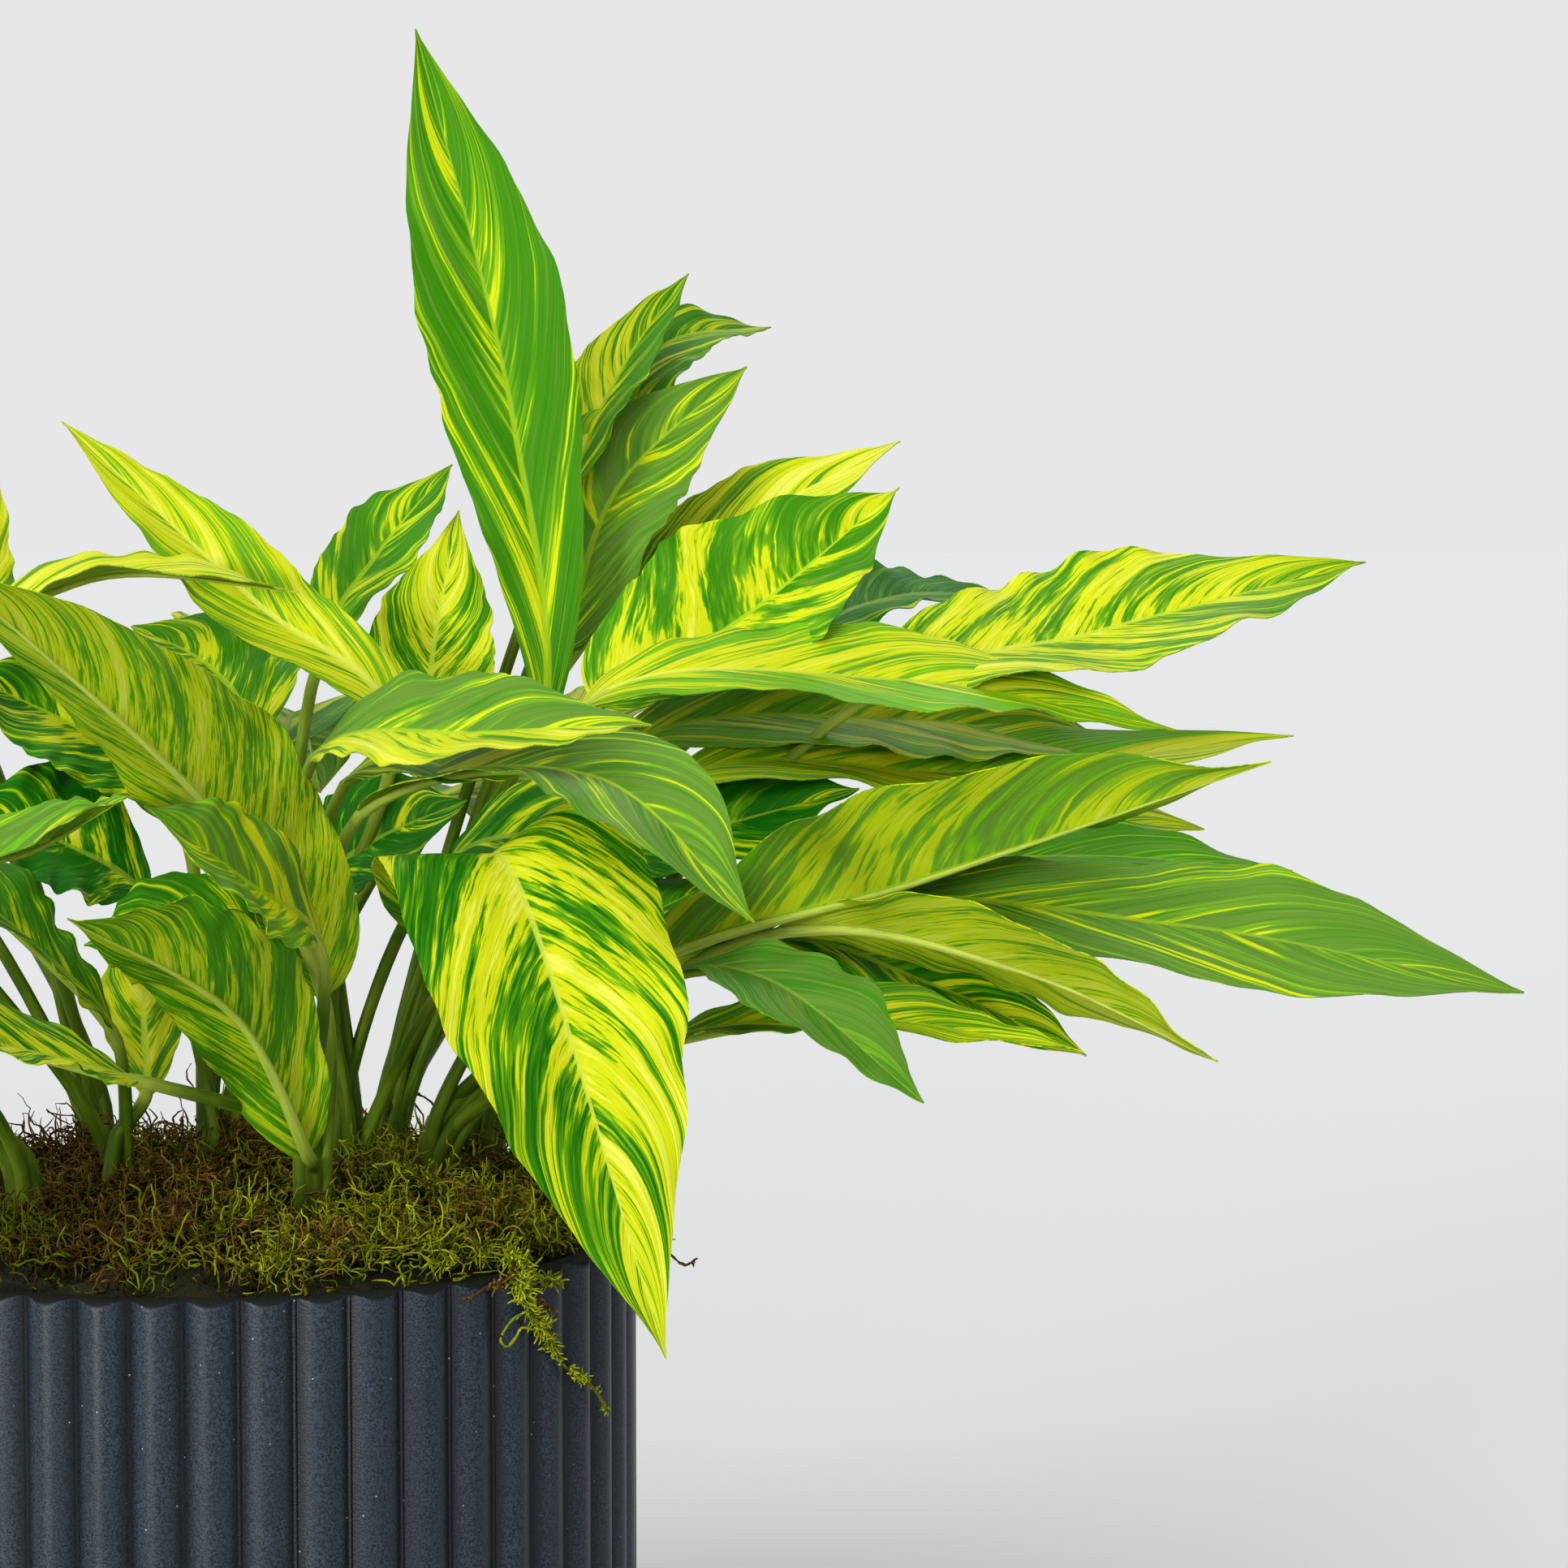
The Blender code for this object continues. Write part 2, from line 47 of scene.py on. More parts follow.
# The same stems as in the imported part. Stem: place of its cane in mm, then its leaves. Leaf: base,
# middle and tip of the blade in mm, width, roll at base and tip, fold, widest place, and its
# colouring: how yellow the left half is at its base and at its tip, the same for the right half,
# how light its green is and how fine its stripes are, each from 0 to 9. None draws a colouring.
STEMS = {
    "leafy_stem_right_front": ((75, -5), [
        ((145, -40, 360), (245, -75, 395), (370, -110, 440), 80, -36, -32, 28, 0.48, (4, 4, 4, 4, 7, 2)),
        ((200, -35, 380), (345, -80, 378), (465, -110, 355), 60, 38, 46, 10, 0.60, (3, 0, 3, 1, 6, 2)),
        ((190, -15, 385), (305, -30, 400), (395, -45, 395), 52, 22, 20, 14, 0.50, (1, 1, 1, 1, 4, 3)),
        ((200, -50, 375), (280, -95, 365), (345, -135, 335), 52, -46, -36, 10, 0.50, (6, 6, 6, 6, 6, 5)),
        ((195, -30, 370), (255, -55, 355), (310, -75, 330), 50, 34, 36, 12, 0.50, (1, 2, 2, 4, 2, 3)),
        ((150, -55, 335), (220, -100, 348), (295, -140, 340), 50, 16, 10, 12, 0.45, (3, 4, 3, 4, 5, 3)),
        ((150, -65, 360), (185, -120, 365), (230, -190, 330), 50, 8, 14, 12, 0.50, (0, 0, 1, 0, 5, 2)),
        ((115, -15, 365), (148, -10, 375), (185, -5, 392), 44, 20, 20, 14, 0.50, (2, 2, 2, 2, 3, 4)),
    ]),
    "leafy_stem_right": ((95, 25), [
        ((245, 35, 458), (340, 60, 482), (460, 90, 510), 80, 28, 34, 14, 0.44, (5, 4, 5, 3, 5, 4)),
        ((130, 5, 455), (255, 20, 465), (365, 20, 445), 60, 30, 28, 12, 0.50, (6, 3, 4, 2, 8, 2)),
        ((140, 40, 455), (195, 60, 485), (265, 80, 540), 88, 34, 44, 22, 0.45, (4, 4, 3, 3, 4, 3)),
        ((145, 40, 435), (260, 60, 448), (370, 75, 430), 68, 34, 32, 12, 0.50, (3, 3, 3, 5, 8, 2)),
        ((165, 20, 425), (290, 45, 428), (425, 70, 440), 54, 30, 26, 12, 0.45, (3, 4, 3, 6, 8, 2)),
        ((205, 15, 385), (300, 30, 410), (380, 35, 405), 58, 20, 26, 12, 0.60, (4, 4, 5, 4, 6, 4)),
        ((130, 18, 392), (180, 14, 408), (238, 8, 424), 60, 40, 36, 12, 0.50, (1, 1, 2, 2, 1, 3)),
    ]),
    "leafy_stem_back_right": ((60, 70), [
        ((120, 55, 440), (111, 85, 565), (75, 130, 725), 61, 10, 6, 14, 0.56, (3, 2, 2, 1, 4, 1)),
        ((135, 110, 540), (160, 140, 590), (190, 170, 630), 38, 10, 20, 20, 0.45, (5, 4, 2, 2, 4, 4)),
        ((155, 130, 555), (180, 170, 600), (230, 210, 610), 40, 30, 30, 16, 0.45, (3, 3, 3, 3, 4, 4)),
        ((130, 90, 475), (155, 112, 540), (210, 132, 590), 64, 38, 42, 14, 0.45, (2, 2, 2, 3, 6, 2)),
        ((140, 96, 480), (187, 118, 514), (275, 140, 560), 50, 32, 36, 12, 0.48, (2, 8, 2, 7, 5, 3)),
        ((225, 110, 475), (275, 150, 495), (330, 190, 495), 52, 20, 16, 14, 0.45, (1, 1, 1, 1, 2, 3)),
        ((130, 145, 430), (200, 235, 450), (270, 325, 420), 70, 0, 0, 14, 0.48, None),
        ((150, 130, 385), (255, 195, 385), (350, 250, 350), 62, 10, 10, 14, 0.48, None),
    ]),
    "leafy_stem_front": ((42, 0), [
        ((82, -38, 368), (93, -112, 408), (145, -165, 240), 96, 10, 22, 10, 0.42, (5, 5, 4, 5, 2, 4)),
        ((45, -50, 420), (125, -100, 436), (175, -170, 390), 58, 14, 24, 16, 0.50, (3, 2, 4, 2, 6, 2)),
        ((28, -45, 440), (90, -90, 451), (145, -120, 455), 57, 36, 32, 16, 0.42, (1, 1, 4, 7, 6, 2)),
        ((40, -30, 430), (90, -55, 440), (145, -75, 438), 50, 26, 24, 10, 0.50, (3, 3, 3, 3, 3, 3)),
        ((80, -10, 400), (130, -30, 410), (165, -50, 410), 54, 38, 34, 14, 0.45, (1, 2, 1, 2, 1, 3)),
    ]),
    "leafy_stem_front_left": ((27, -60), [
        ((32, -42, 352), (-2, -85, 417), (-100, -150, 515), 76, 44, 40, 40, 0.42, (5, 5, 4, 5, 5, 7)),
        ((30, -80, 375), (5, -115, 400), (-30, -150, 430), 50, -74, -66, 20, 0.50, (4, 1, 5, 1, 7, 2)),
        ((25, -85, 300), (0, -125, 355), (-55, -180, 395), 64, 40, 30, 36, 0.50, (4, 3, 3, 3, 3, 6)),
        ((-35, -130, 335), (-75, -160, 350), (-110, -200, 365), 54, -24, -24, 14, 0.45, (5, 5, 3, 3, 1, 5)),
        ((12, -64, 368), (-18, -64, 382), (-54, -58, 374), 44, -44, -40, 14, 0.50, (2, 3, 3, 3, 3, 4)),
    ]),
    "leafy_stem_centre": ((-8, 15), [
        ((60, 30, 450), (10, 50, 494), (-65, 70, 565), 42, -38, -30, 18, 0.45, (5, 5, 5, 6, 8, 4)),
        ((5, 50, 445), (-10, 80, 470), (-40, 100, 485), 50, -20, -20, 16, 0.50, (4, 4, 3, 3, 4, 5)),
        ((-34, 24, 384), (-62, 18, 404), (-102, 10, 420), 70, -42, -36, 14, 0.50, (1, 2, 1, 2, 1, 5)),
        ((28, 26, 384), (52, 22, 404), (88, 18, 420), 58, 44, 38, 14, 0.50, (1, 1, 1, 2, 1, 5)),
        ((-22, 40, 416), (-54, 42, 444), (-106, 44, 470), 62, -40, -34, 14, 0.50, (3, 3, 3, 3, 2, 5)),
    ]),
    "leafy_stem_middle_left": ((-45, -15), [
        ((-45, -28, 340), (-70, -40, 370), (-130, -50, 422), 64, -26, -26, 14, 0.50, (2, 2, 2, 2, 3, 5)),
        ((-108, -65, 398), (-70, -95, 412), (-36, -125, 432), 46, 48, 40, 16, 0.50, (1, 2, 1, 3, 7, 3)),
        ((-34, -10, 312), (-34, -6, 345), (-32, 0, 385), 34, 20, 10, 10, 0.50, (4, 5, 4, 5, 5, 7)),
    ]),
    "leafy_stem_left_front": ((-78, -48), [
        ((-160, -85, 365), (-250, -140, 385), (-360, -190, 350), 78, -30, -40, 14, 0.50, None),
        ((-140, -110, 400), (-215, -190, 430), (-300, -270, 420), 68, -20, -20, 14, 0.48, None),
        ((-115, -115, 355), (-165, -190, 365), (-220, -280, 325), 62, -14, -20, 14, 0.48, None),
        ((-150, -75, 330), (-230, -105, 330), (-320, -130, 295), 56, -20, -30, 12, 0.45, None),
        ((-115, -115, 325), (-155, -185, 318), (-195, -250, 280), 54, 0, -10, 12, 0.45, None),
    ]),
    "leafy_stem_left": ((-95, 10), [
        ((-105, 20, 470), (-55, 20, 505), (25, 15, 500), 40, 10, 10, 16, 0.45, (6, 5, 4, 5, 7, 4)),
        ((-190, 0, 395), (-310, -10, 415), (-440, -20, 385), 80, -20, -30, 14, 0.50, None),
        ((-150, 10, 450), (-230, 10, 510), (-330, 20, 530), 66, -24, -20, 14, 0.48, None),
        ((-170, 30, 350), (-270, 45, 350), (-370, 60, 315), 58, -10, -20, 12, 0.45, None),
        ((-165, -20, 430), (-275, -45, 465), (-385, -70, 460), 68, -26, -26, 14, 0.48, None),
        ((-130, 35, 480), (-170, 55, 560), (-230, 75, 625), 60, -20, -16, 16, 0.50, None),
    ]),
    "leafy_stem_back_left": ((-55, 70), [
        ((-102, 60, 455), (-106, 80, 505), (-92, 98, 550), 46, -30, -20, 16, 0.50, (5, 5, 5, 5, 6, 4)),
        ((-150, 130, 430), (-220, 190, 450), (-300, 250, 420), 70, -10, -10, 14, 0.48, None),
        ((-110, 150, 460), (-150, 230, 500), (-210, 310, 510), 66, 0, 0, 14, 0.48, None),
        ((-150, 110, 370), (-250, 160, 370), (-350, 200, 335), 62, -14, -20, 14, 0.45, None),
        ((-115, 130, 480), (-165, 180, 560), (-215, 225, 615), 60, -10, -10, 16, 0.50, None),
        ((-100, 170, 380), (-130, 270, 385), (-160, 360, 350), 58, 0, 0, 12, 0.48, None),
    ]),
    "leafy_stem_back": ((10, 95), [
        ((35, 110, 475), (60, 130, 515), (90, 150, 550), 44, 20, 20, 14, 0.50, (2, 3, 2, 3, 4, 3)),
        ((72, 76, 425), (79, 88, 476), (90, 102, 531), 56, 74, 70, 14, 0.40, (4, 5, 4, 5, 3, 7)),
        ((20, 180, 430), (30, 290, 440), (40, 390, 400), 76, 0, 0, 14, 0.48, None),
        ((-15, 180, 440), (-40, 270, 458), (-60, 350, 435), 64, 8, 8, 14, 0.48, None),
        ((60, 190, 395), (110, 290, 405), (150, 380, 365), 62, -8, -8, 14, 0.48, None),
        ((10, 160, 440), (0, 220, 478), (-15, 275, 480), 58, 4, 4, 16, 0.50, None),
        ((0, 180, 355), (-20, 280, 345), (-50, 365, 305), 56, 4, 4, 12, 0.48, None),
    ]),
}
CANE_RADIUS = 0.0085
CANE_TOP = 0.304
STALK_FOOT = 0.244
STALK_RADIUS = 0.0024
STALK_RINGS = 12
BLADE_RINGS = 60
STALK_SIDES = 8
BLADE_THICKNESS = 0.00045
TIP_HALF_WIDTH = 0.0003
SPINE_STEPS = 60
LEAF_TURN = 2.4
LOWEST_LEAF = CANE_TOP - 0.018
LEAF_RISE = 0.012
RIB_END_RADIUS = 0.00022
FOOT_SWELL = 0.28
VEIN_SLANT = 0.24
ACROSS = np.array([-1, -0.95, -0.85, -0.7, -0.52, -0.34, -0.18, -0.06, 0,
                   0.06, 0.18, 0.34, 0.52, 0.7, 0.85, 0.95, 1])

# Margins: nicks and scallops as shares of the half width, waves and ripples as shares of the width
NICKS = 30
NICK_DEPTH = 0.055
WIDE_SCALLOP = 0.022
FINE_SCALLOP = 0.012
BIG_WAVE = 0.035
BIG_WAVES = 2.6
RIPPLE = 0.030
RIPPLES = (5.5, 9.0)

# What sets the streaks of a leaf apart from the next one's, its halves, and its drawn colouring
SEED_STEP = 1.37
OTHER_HALF = 41.7
DRAWN_LOOK = 5000


def unit(vector):
    return vector / max(np.linalg.norm(vector), 1e-12)


def units(vectors, least=0):
    """Each of many vectors at length one."""
    return vectors / (np.linalg.norm(vectors, axis=-1, keepdims=True) + least)


def run_of(line, power=1):
    """How far along a line each of its points lies, every step raised to `power`."""
    return np.concatenate(([0], np.cumsum(np.linalg.norm(np.diff(line, axis=0), axis=1) ** power)))


def smooth_step(low, high, value):
    share = np.clip((value - low) / (high - low), 0, 1)
    return share * share * (3 - 2 * share)


def spline(points, steps):
    """Points along a centripetal Catmull-Rom curve, `steps` spans on each piece."""
    points = np.array(points, float)
    knots = run_of(points, 0.5)
    out = []
    for piece in range(1, len(points) - 2):
        p, k = points[piece - 1:piece + 3], knots[piece - 1:piece + 3]
        last = piece == len(points) - 3
        for t in np.linspace(k[1], k[2], steps + 1)[:steps + last]:
            a = [((k[i + 1] - t) * p[i] + (t - k[i]) * p[i + 1]) / (k[i + 1] - k[i]) for i in range(3)]
            b = [((k[i + 2] - t) * a[i] + (t - k[i]) * a[i + 1]) / (k[i + 2] - k[i]) for i in range(2)]
            out.append(((k[2] - t) * b[0] + (t - k[1]) * b[1]) / (k[2] - k[1]))
    return np.array(out)


def resampled(line, at):
    lengths = run_of(line)
    return np.stack([np.interp(at * lengths[-1], lengths, line[:, axis]) for axis in range(3)], axis=1)


def spine_of(foot, leaf):
    """The line of a leaf: its stalk up to the blade, then the midrib, each evenly stepped."""
    neck, crown, tip = (np.array(p, float) * MM for p in leaf[:3])
    before = foot - np.array([0, 0, 0.5 * np.linalg.norm(neck - foot)])
    after = tip + 0.6 * (tip - crown)
    line = spline([before, foot, neck, crown, tip, after], SPINE_STEPS)
    stalk = resampled(line[:SPINE_STEPS + 1], np.linspace(0, 1, STALK_RINGS + 1))
    blade = resampled(line[SPINE_STEPS:], np.linspace(0, 1, BLADE_RINGS + 1))
    return np.concatenate((stalk[:-1], blade))


def frames_of(line, heading, rolls):
    """Side and upper-face normal at each point of the line."""
    tangents = units(np.gradient(line, axis=0))
    flat = np.array([heading[1], -heading[0], 0.0])
    rights = units(flat - (tangents @ flat)[:, None] * tangents)
    ups = np.cross(rights, tangents)
    steps = np.arange(len(line))
    roll = np.where(steps < STALK_RINGS, rolls[0] * steps / STALK_RINGS,
                    rolls[0] + (rolls[1] - rolls[0]) * (steps - STALK_RINGS) / BLADE_RINGS)
    roll = np.radians(roll)[:, None]
    return np.cos(roll) * rights - np.sin(roll) * ups, np.cos(roll) * ups + np.sin(roll) * rights


def half_width(share, width, widest):
    """Half the width of the blade, from its base at 0 to its tip at 1."""
    bulge = math.log(0.5) / math.log(widest)
    wide = np.sin(math.pi * np.clip(share, 0, 1) ** bulge)
    return width / 2 * np.clip(wide, 0, 1) ** (0.7 + 0.5 * share)


def put_in_scene(name, mesh):
    obj = bpy.data.objects.new(name, mesh)
    bpy.context.scene.collection.objects.link(obj)
    return obj


def make_piece(name, points, faces, facts, materials):
    """A smooth piece; its points or faces carry facts, three numbers each, for their material."""
    mesh = bpy.data.meshes.new(name)
    mesh.from_pydata(points.tolist(), [], faces)
    for label, domain, values in facts:
        field = mesh.attributes.new(label, "FLOAT_VECTOR", domain)
        field.data.foreach_set("vector", values.astype(np.float32).ravel())
    for material in materials:
        mesh.materials.append(material)
    mesh.shade_smooth()
    mesh.update()
    return put_in_scene(name, mesh)


class Skin:
    """Gathers the points, faces and surface facts of everything that grows on one stem."""

    def __init__(self):
        self.parts, self.count = [], 0

    def add(self, points, faces, vein, habit, half, kind):
        self.parts.append((points, faces + self.count, vein, habit, half, np.full(len(faces), kind)))
        self.count += len(points)

    def build(self, name, materials):
        points, faces, vein, habit, half, kind = (np.concatenate(rows) for rows in zip(*self.parts))
        facts = (("vein", "POINT", vein), ("habit", "POINT", habit), ("half", "FACE", half))
        stem = make_piece(name, points, faces.tolist(), facts, materials)
        stem.data.polygons.foreach_set("material_index", kind.astype(np.int32))
        stem.data.set_sharp_from_angle(angle=math.radians(62))
        stem.data.update()
        return stem


def grid_faces(rows, columns, start=0, closed=False, turned=False):
    """Quads of a grid of points; `closed` joins its last column to its first."""
    i, j = np.meshgrid(np.arange(rows - 1), np.arange(columns - (not closed)), indexing="ij")
    a = start + i * columns + j
    b = start + i * columns + (j + 1) % columns
    quads = np.stack([a, b, b + columns, a + columns], axis=-1).reshape(-1, 4)
    return quads[:, ::-1] if turned else quads


def add_blade(skin, line, rights, ups, leaf, draw, seed, look):
    """The thin blade: a closed skin whose margins ripple, with both halves arched from the midrib."""
    width, fold = leaf[3] * MM, math.radians(leaf[6])
    share = np.linspace(0, 1, BLADE_RINGS + 1)
    length = np.linalg.norm(np.diff(line, axis=0), axis=1).sum()
    phases = draw.uniform(0, math.tau, 2)
    more = draw.uniform(0, math.tau, 8)
    ripples = draw.uniform(*RIPPLES, 2)
    knots = draw.uniform(0, 1, (2, NICKS)) ** 1.6
    sides = (ACROSS > 0).astype(int)
    apart = np.abs(ACROSS)
    s = share[:, None]
    reach = np.maximum(half_width(share, width, leaf[7]), TIP_HALF_WIDTH)[:, None]
    envelope = np.sqrt(np.sin(math.pi * s))
    scallop = 1 + envelope * apart ** 2 * (
        WIDE_SCALLOP * np.sin(math.tau * ripples[sides] * 0.8 * s + more[sides])
        + FINE_SCALLOP * np.sin(math.tau * ripples[sides] * 1.9 * s + more[2 + sides]))
    folded = fold * np.clip(4 * s, 0, 1)
    nicks = np.stack([np.interp(share * (NICKS - 1), np.arange(NICKS), row) for row in knots],
                     axis=1)[:, sides]
    half = reach * scallop * (1 - NICK_DEPTH * envelope * apart ** 5 * nicks)
    big_wave = BIG_WAVE * width * np.sin(math.tau * BIG_WAVES * s + phases[sides]) * apart ** 1.3 * envelope
    ripple = RIPPLE * width * np.sin(math.tau * ripples[sides] * s + more[4 + sides]) * apart ** 3
    ripple *= envelope * (0.55 + 0.45 * np.sin(math.tau * 1.3 * s + more[6 + sides]))
    rise = reach * np.sin(folded) * (1.4 * apart - 0.4 * apart ** 2)
    side = ACROSS * half * np.cos(folded)
    middle = line[:, None] + rights[:, None] * side[..., None] + ups[:, None] * (
        rise + big_wave + ripple)[..., None]
    thick = ups[:, None] * (BLADE_THICKNESS / 2)
    columns = len(ACROSS)
    points = np.concatenate(((middle + thick).reshape(-1, 3), (middle - thick).reshape(-1, 3)))
    rows = BLADE_RINGS + 1
    low = rows * columns
    top = grid_faces(rows, columns)
    under = grid_faces(rows, columns, low, turned=True)
    i = np.arange(rows - 1) * columns
    right = i + columns - 1
    walls = np.concatenate((np.stack([i, i + columns, i + columns + low, i + low], axis=1),
                            np.stack([right + columns, right, right + low, right + columns + low], axis=1)))
    j = np.arange(columns - 1)
    last = (rows - 1) * columns + j
    ends = np.concatenate((np.stack([j + 1, j, j + low, j + 1 + low], axis=1),
                           np.stack([last, last + 1, last + 1 + low, last + low], axis=1)))
    slant = np.clip(VEIN_SLANT + (90 - leaf[3]) * 0.0035 - 0.005 * (leaf[6] - 14), 0.14, 0.36)
    along = 1000 * length * (s - slant * (0.6 * apart + 0.4 * apart ** 2))
    vein = np.stack([along, 1000 * apart * reach + 0 * s, 1000 * side], axis=-1).reshape(-1, 3)
    left_share = look[0] + (look[1] - look[0]) * s
    right_share = look[2] + (look[3] - look[2]) * s
    yellow = np.where(ACROSS < 0, left_share, np.where(ACROSS > 0, right_share,
                                                       (left_share + right_share) / 2))
    habit = np.stack([yellow / 9, s + 0 * yellow, look[4] / 9 + 0 * yellow], axis=-1).reshape(-1, 3)
    on_left = (np.arange(len(top)) % (columns - 1)) < (columns - 1) // 2
    seeds = np.where(on_left, seed, seed + OTHER_HALF)
    fine = 0 * seeds + 0.35 + 0.17 * look[5]
    half_facts = [np.stack([seeds, 0 * seeds, fine], axis=1),
                  np.stack([seeds, 0 * seeds + 1, fine], axis=1),
                  np.tile([seed, 0.5, 1], (len(walls) + len(ends), 1))]
    skin.add(points, np.concatenate((top, under, walls, ends)), np.tile(vein, (2, 1)),
             np.tile(habit, (2, 1)), np.concatenate(half_facts), 0)


def add_stalk(skin, line, rights, ups, ground, seed, look):
    """The round stalk from the moss up to the blade, running on under it as the midrib."""
    down = unit(line[1] - line[0])
    drop = np.linalg.norm(line[0] - ground)
    shares = np.linspace(1, 0, 4)[:-1]
    roots = np.array([(1 - u) * (line[0] - down * drop * u) + u * ground for u in shares])
    keep = np.concatenate((np.arange(STALK_RINGS), np.arange(STALK_RINGS, len(line), 3)))
    spine = np.concatenate((roots, line[keep]))
    right = np.concatenate((np.tile(rights[0], (3, 1)), rights[keep]))
    up = np.concatenate((np.tile(ups[0], (3, 1)), ups[keep]))
    share = np.concatenate(([-1.3, -1.2, -1.1], (keep - STALK_RINGS) / np.where(
        keep < STALK_RINGS, STALK_RINGS, BLADE_RINGS)))
    on_blade = np.clip(share, 0, 1)
    radius = STALK_RADIUS * (1 - on_blade) ** 1.2 + RIB_END_RADIUS
    radius *= 1 + FOOT_SWELL * smooth_step(-0.6, -1.2, share)
    sunk = radius * 0.80 * smooth_step(-0.05, 0.10, share)
    centre = spine - up * sunk[:, None]
    angles = math.tau * (np.arange(STALK_SIDES) + 0.5) / STALK_SIDES
    flat = 1 - 0.15 * smooth_step(-0.5, 0, share)
    rings = (centre[:, None] + right[:, None] * (np.cos(angles) * radius[:, None])[..., None]
             + up[:, None] * (np.sin(angles) * (radius * flat)[:, None])[..., None])
    rows = len(spine)
    faces = grid_faces(rows, STALK_SIDES, closed=True, turned=True)
    last = (rows - 1) * STALK_SIDES
    caps = [[0, 1, 2, 3], [0, 3, 4, 7], [4, 5, 6, 7],
            [last + 3, last + 2, last + 1, last], [last + 7, last + 4, last + 3, last],
            [last + 7, last + 6, last + 5, last + 4]]
    lengths = run_of(spine)
    around = np.abs(angles - math.pi) * 1000 * STALK_RADIUS
    vein = np.stack(np.broadcast_arrays(around[None], 1000 * lengths[:, None], 0 * around[None]),
                    axis=-1).reshape(-1, 3)
    yellow = (look[0] + look[2]) / 18 + ((look[1] + look[3]) - (look[0] + look[2])) / 18 * on_blade
    habit = np.stack(np.broadcast_arrays(yellow[:, None], share[:, None],
                                         np.full((1, STALK_SIDES), look[4] / 9)), axis=-1).reshape(-1, 3)
    faces = np.concatenate((faces, np.array(caps)))
    half = np.tile([seed, 0, 0], (len(faces), 1))
    skin.add(rings.reshape(-1, 3), faces, vein, habit, half, 1)


def foot_of(cane, index, count):
    """Where a leaf leaves its cane, and where its stalk comes out of the moss."""
    angle = LEAF_TURN * index
    out = np.array([math.cos(angle), math.sin(angle), 0])
    foot = np.array([cane[0] * MM, cane[1] * MM, LOWEST_LEAF + LEAF_RISE * index / max(1, count - 1)])
    ground = np.array([cane[0] * MM, cane[1] * MM, STALK_FOOT])
    return foot + out * 0.50 * CANE_RADIUS, ground + out * 0.72 * CANE_RADIUS


def grow_stem(name, materials):
    cane, leaves = STEMS[name]
    skin = Skin()
    for index, leaf in enumerate(leaves):
        seed = 100 * list(STEMS).index(name) + index
        foot, ground = foot_of(cane, index, len(leaves))
        tip = np.array(leaf[2], float) * MM
        heading = unit(np.array([tip[0] - foot[0], tip[1] - foot[1], 0]))
        line = spine_of(foot, leaf)
        rights, ups = frames_of(line, heading, leaf[4:6])
        draw = np.random.default_rng(seed)
        look = leaf[8] or tuple(np.random.default_rng(seed + DRAWN_LOOK).integers(1, 7, 6))
        add_stalk(skin, line, rights, ups, ground, seed * SEED_STEP, look)
        add_blade(skin, line[STALK_RINGS:], rights[STALK_RINGS:], ups[STALK_RINGS:], leaf,
                  draw, seed * SEED_STEP, look)
    stem = skin.build(name.replace("leafy_stem", "striped_leaves"), materials)
    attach(stem, "root")
    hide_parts(name)


# Shader helpers


def fill(tree, socket, value):
    """Joins a socket to another one, or sets its value."""
    if isinstance(value, bpy.types.NodeSocket):
        tree.links.new(value, socket)
    else:
        socket.default_value = value


def put(tree, kind, inputs=None, **settings):
    """Adds one node, sets it up and fills or joins its inputs."""
    node = tree.nodes.new(kind)
    for key, value in settings.items():
        setattr(node, key, value)
    for key, value in (inputs or {}).items():
        fill(tree, node.inputs[key], value)
    return node


def maths(tree, operation, *values, clamp=False):
    return put(tree, "ShaderNodeMath", dict(enumerate(values)), operation=operation,
               use_clamp=clamp).outputs[0]


def times(tree, first, second):
    return maths(tree, "MULTIPLY", first, second)


def plus(tree, first, second):
    return maths(tree, "ADD", first, second)


def scaled(tree, value, factor, start):
    return plus(tree, times(tree, value, factor), start)


def swing(tree, value, factor):
    """How far a value lies from one half, times a factor."""
    return times(tree, maths(tree, "SUBTRACT", value, 0.5), factor)


def ramp(tree, value, low, high, to_low=0.0, to_high=1.0):
    """A soft step from one value to another."""
    return put(tree, "ShaderNodeMapRange", dict(enumerate((value, low, high, to_low, to_high))),
               interpolation_type="SMOOTHSTEP").outputs[0]


def opaque(colour):
    return (*colour, 1) if isinstance(colour, tuple) else colour


def blend(tree, share, first, second):
    """A colour between two colours."""
    return put(tree, "ShaderNodeMix", {0: share, 6: opaque(first), 7: opaque(second)},
               data_type="RGBA").outputs[2]


def noise(tree, vector, scale, detail=2.0):
    return put(tree, "ShaderNodeTexNoise", {"Vector": vector, "Scale": scale, "Detail": detail}).outputs[0]


def facts_of(tree, name):
    """The three numbers that each point or face carries under this name."""
    fact = put(tree, "ShaderNodeAttribute", attribute_name=name)
    return put(tree, "ShaderNodeSeparateXYZ", {0: fact.outputs["Vector"]}).outputs


def new_group(name, takes, gives):
    tree = bpy.data.node_groups.new(name, "ShaderNodeTree")
    for label, kind, value in takes:
        tree.interface.new_socket(name=label, in_out="INPUT", socket_type=kind).default_value = value
    for label, kind in gives:
        tree.interface.new_socket(name=label, in_out="OUTPUT", socket_type=kind)
    return tree, tree.nodes.new("NodeGroupInput"), tree.nodes.new("NodeGroupOutput")


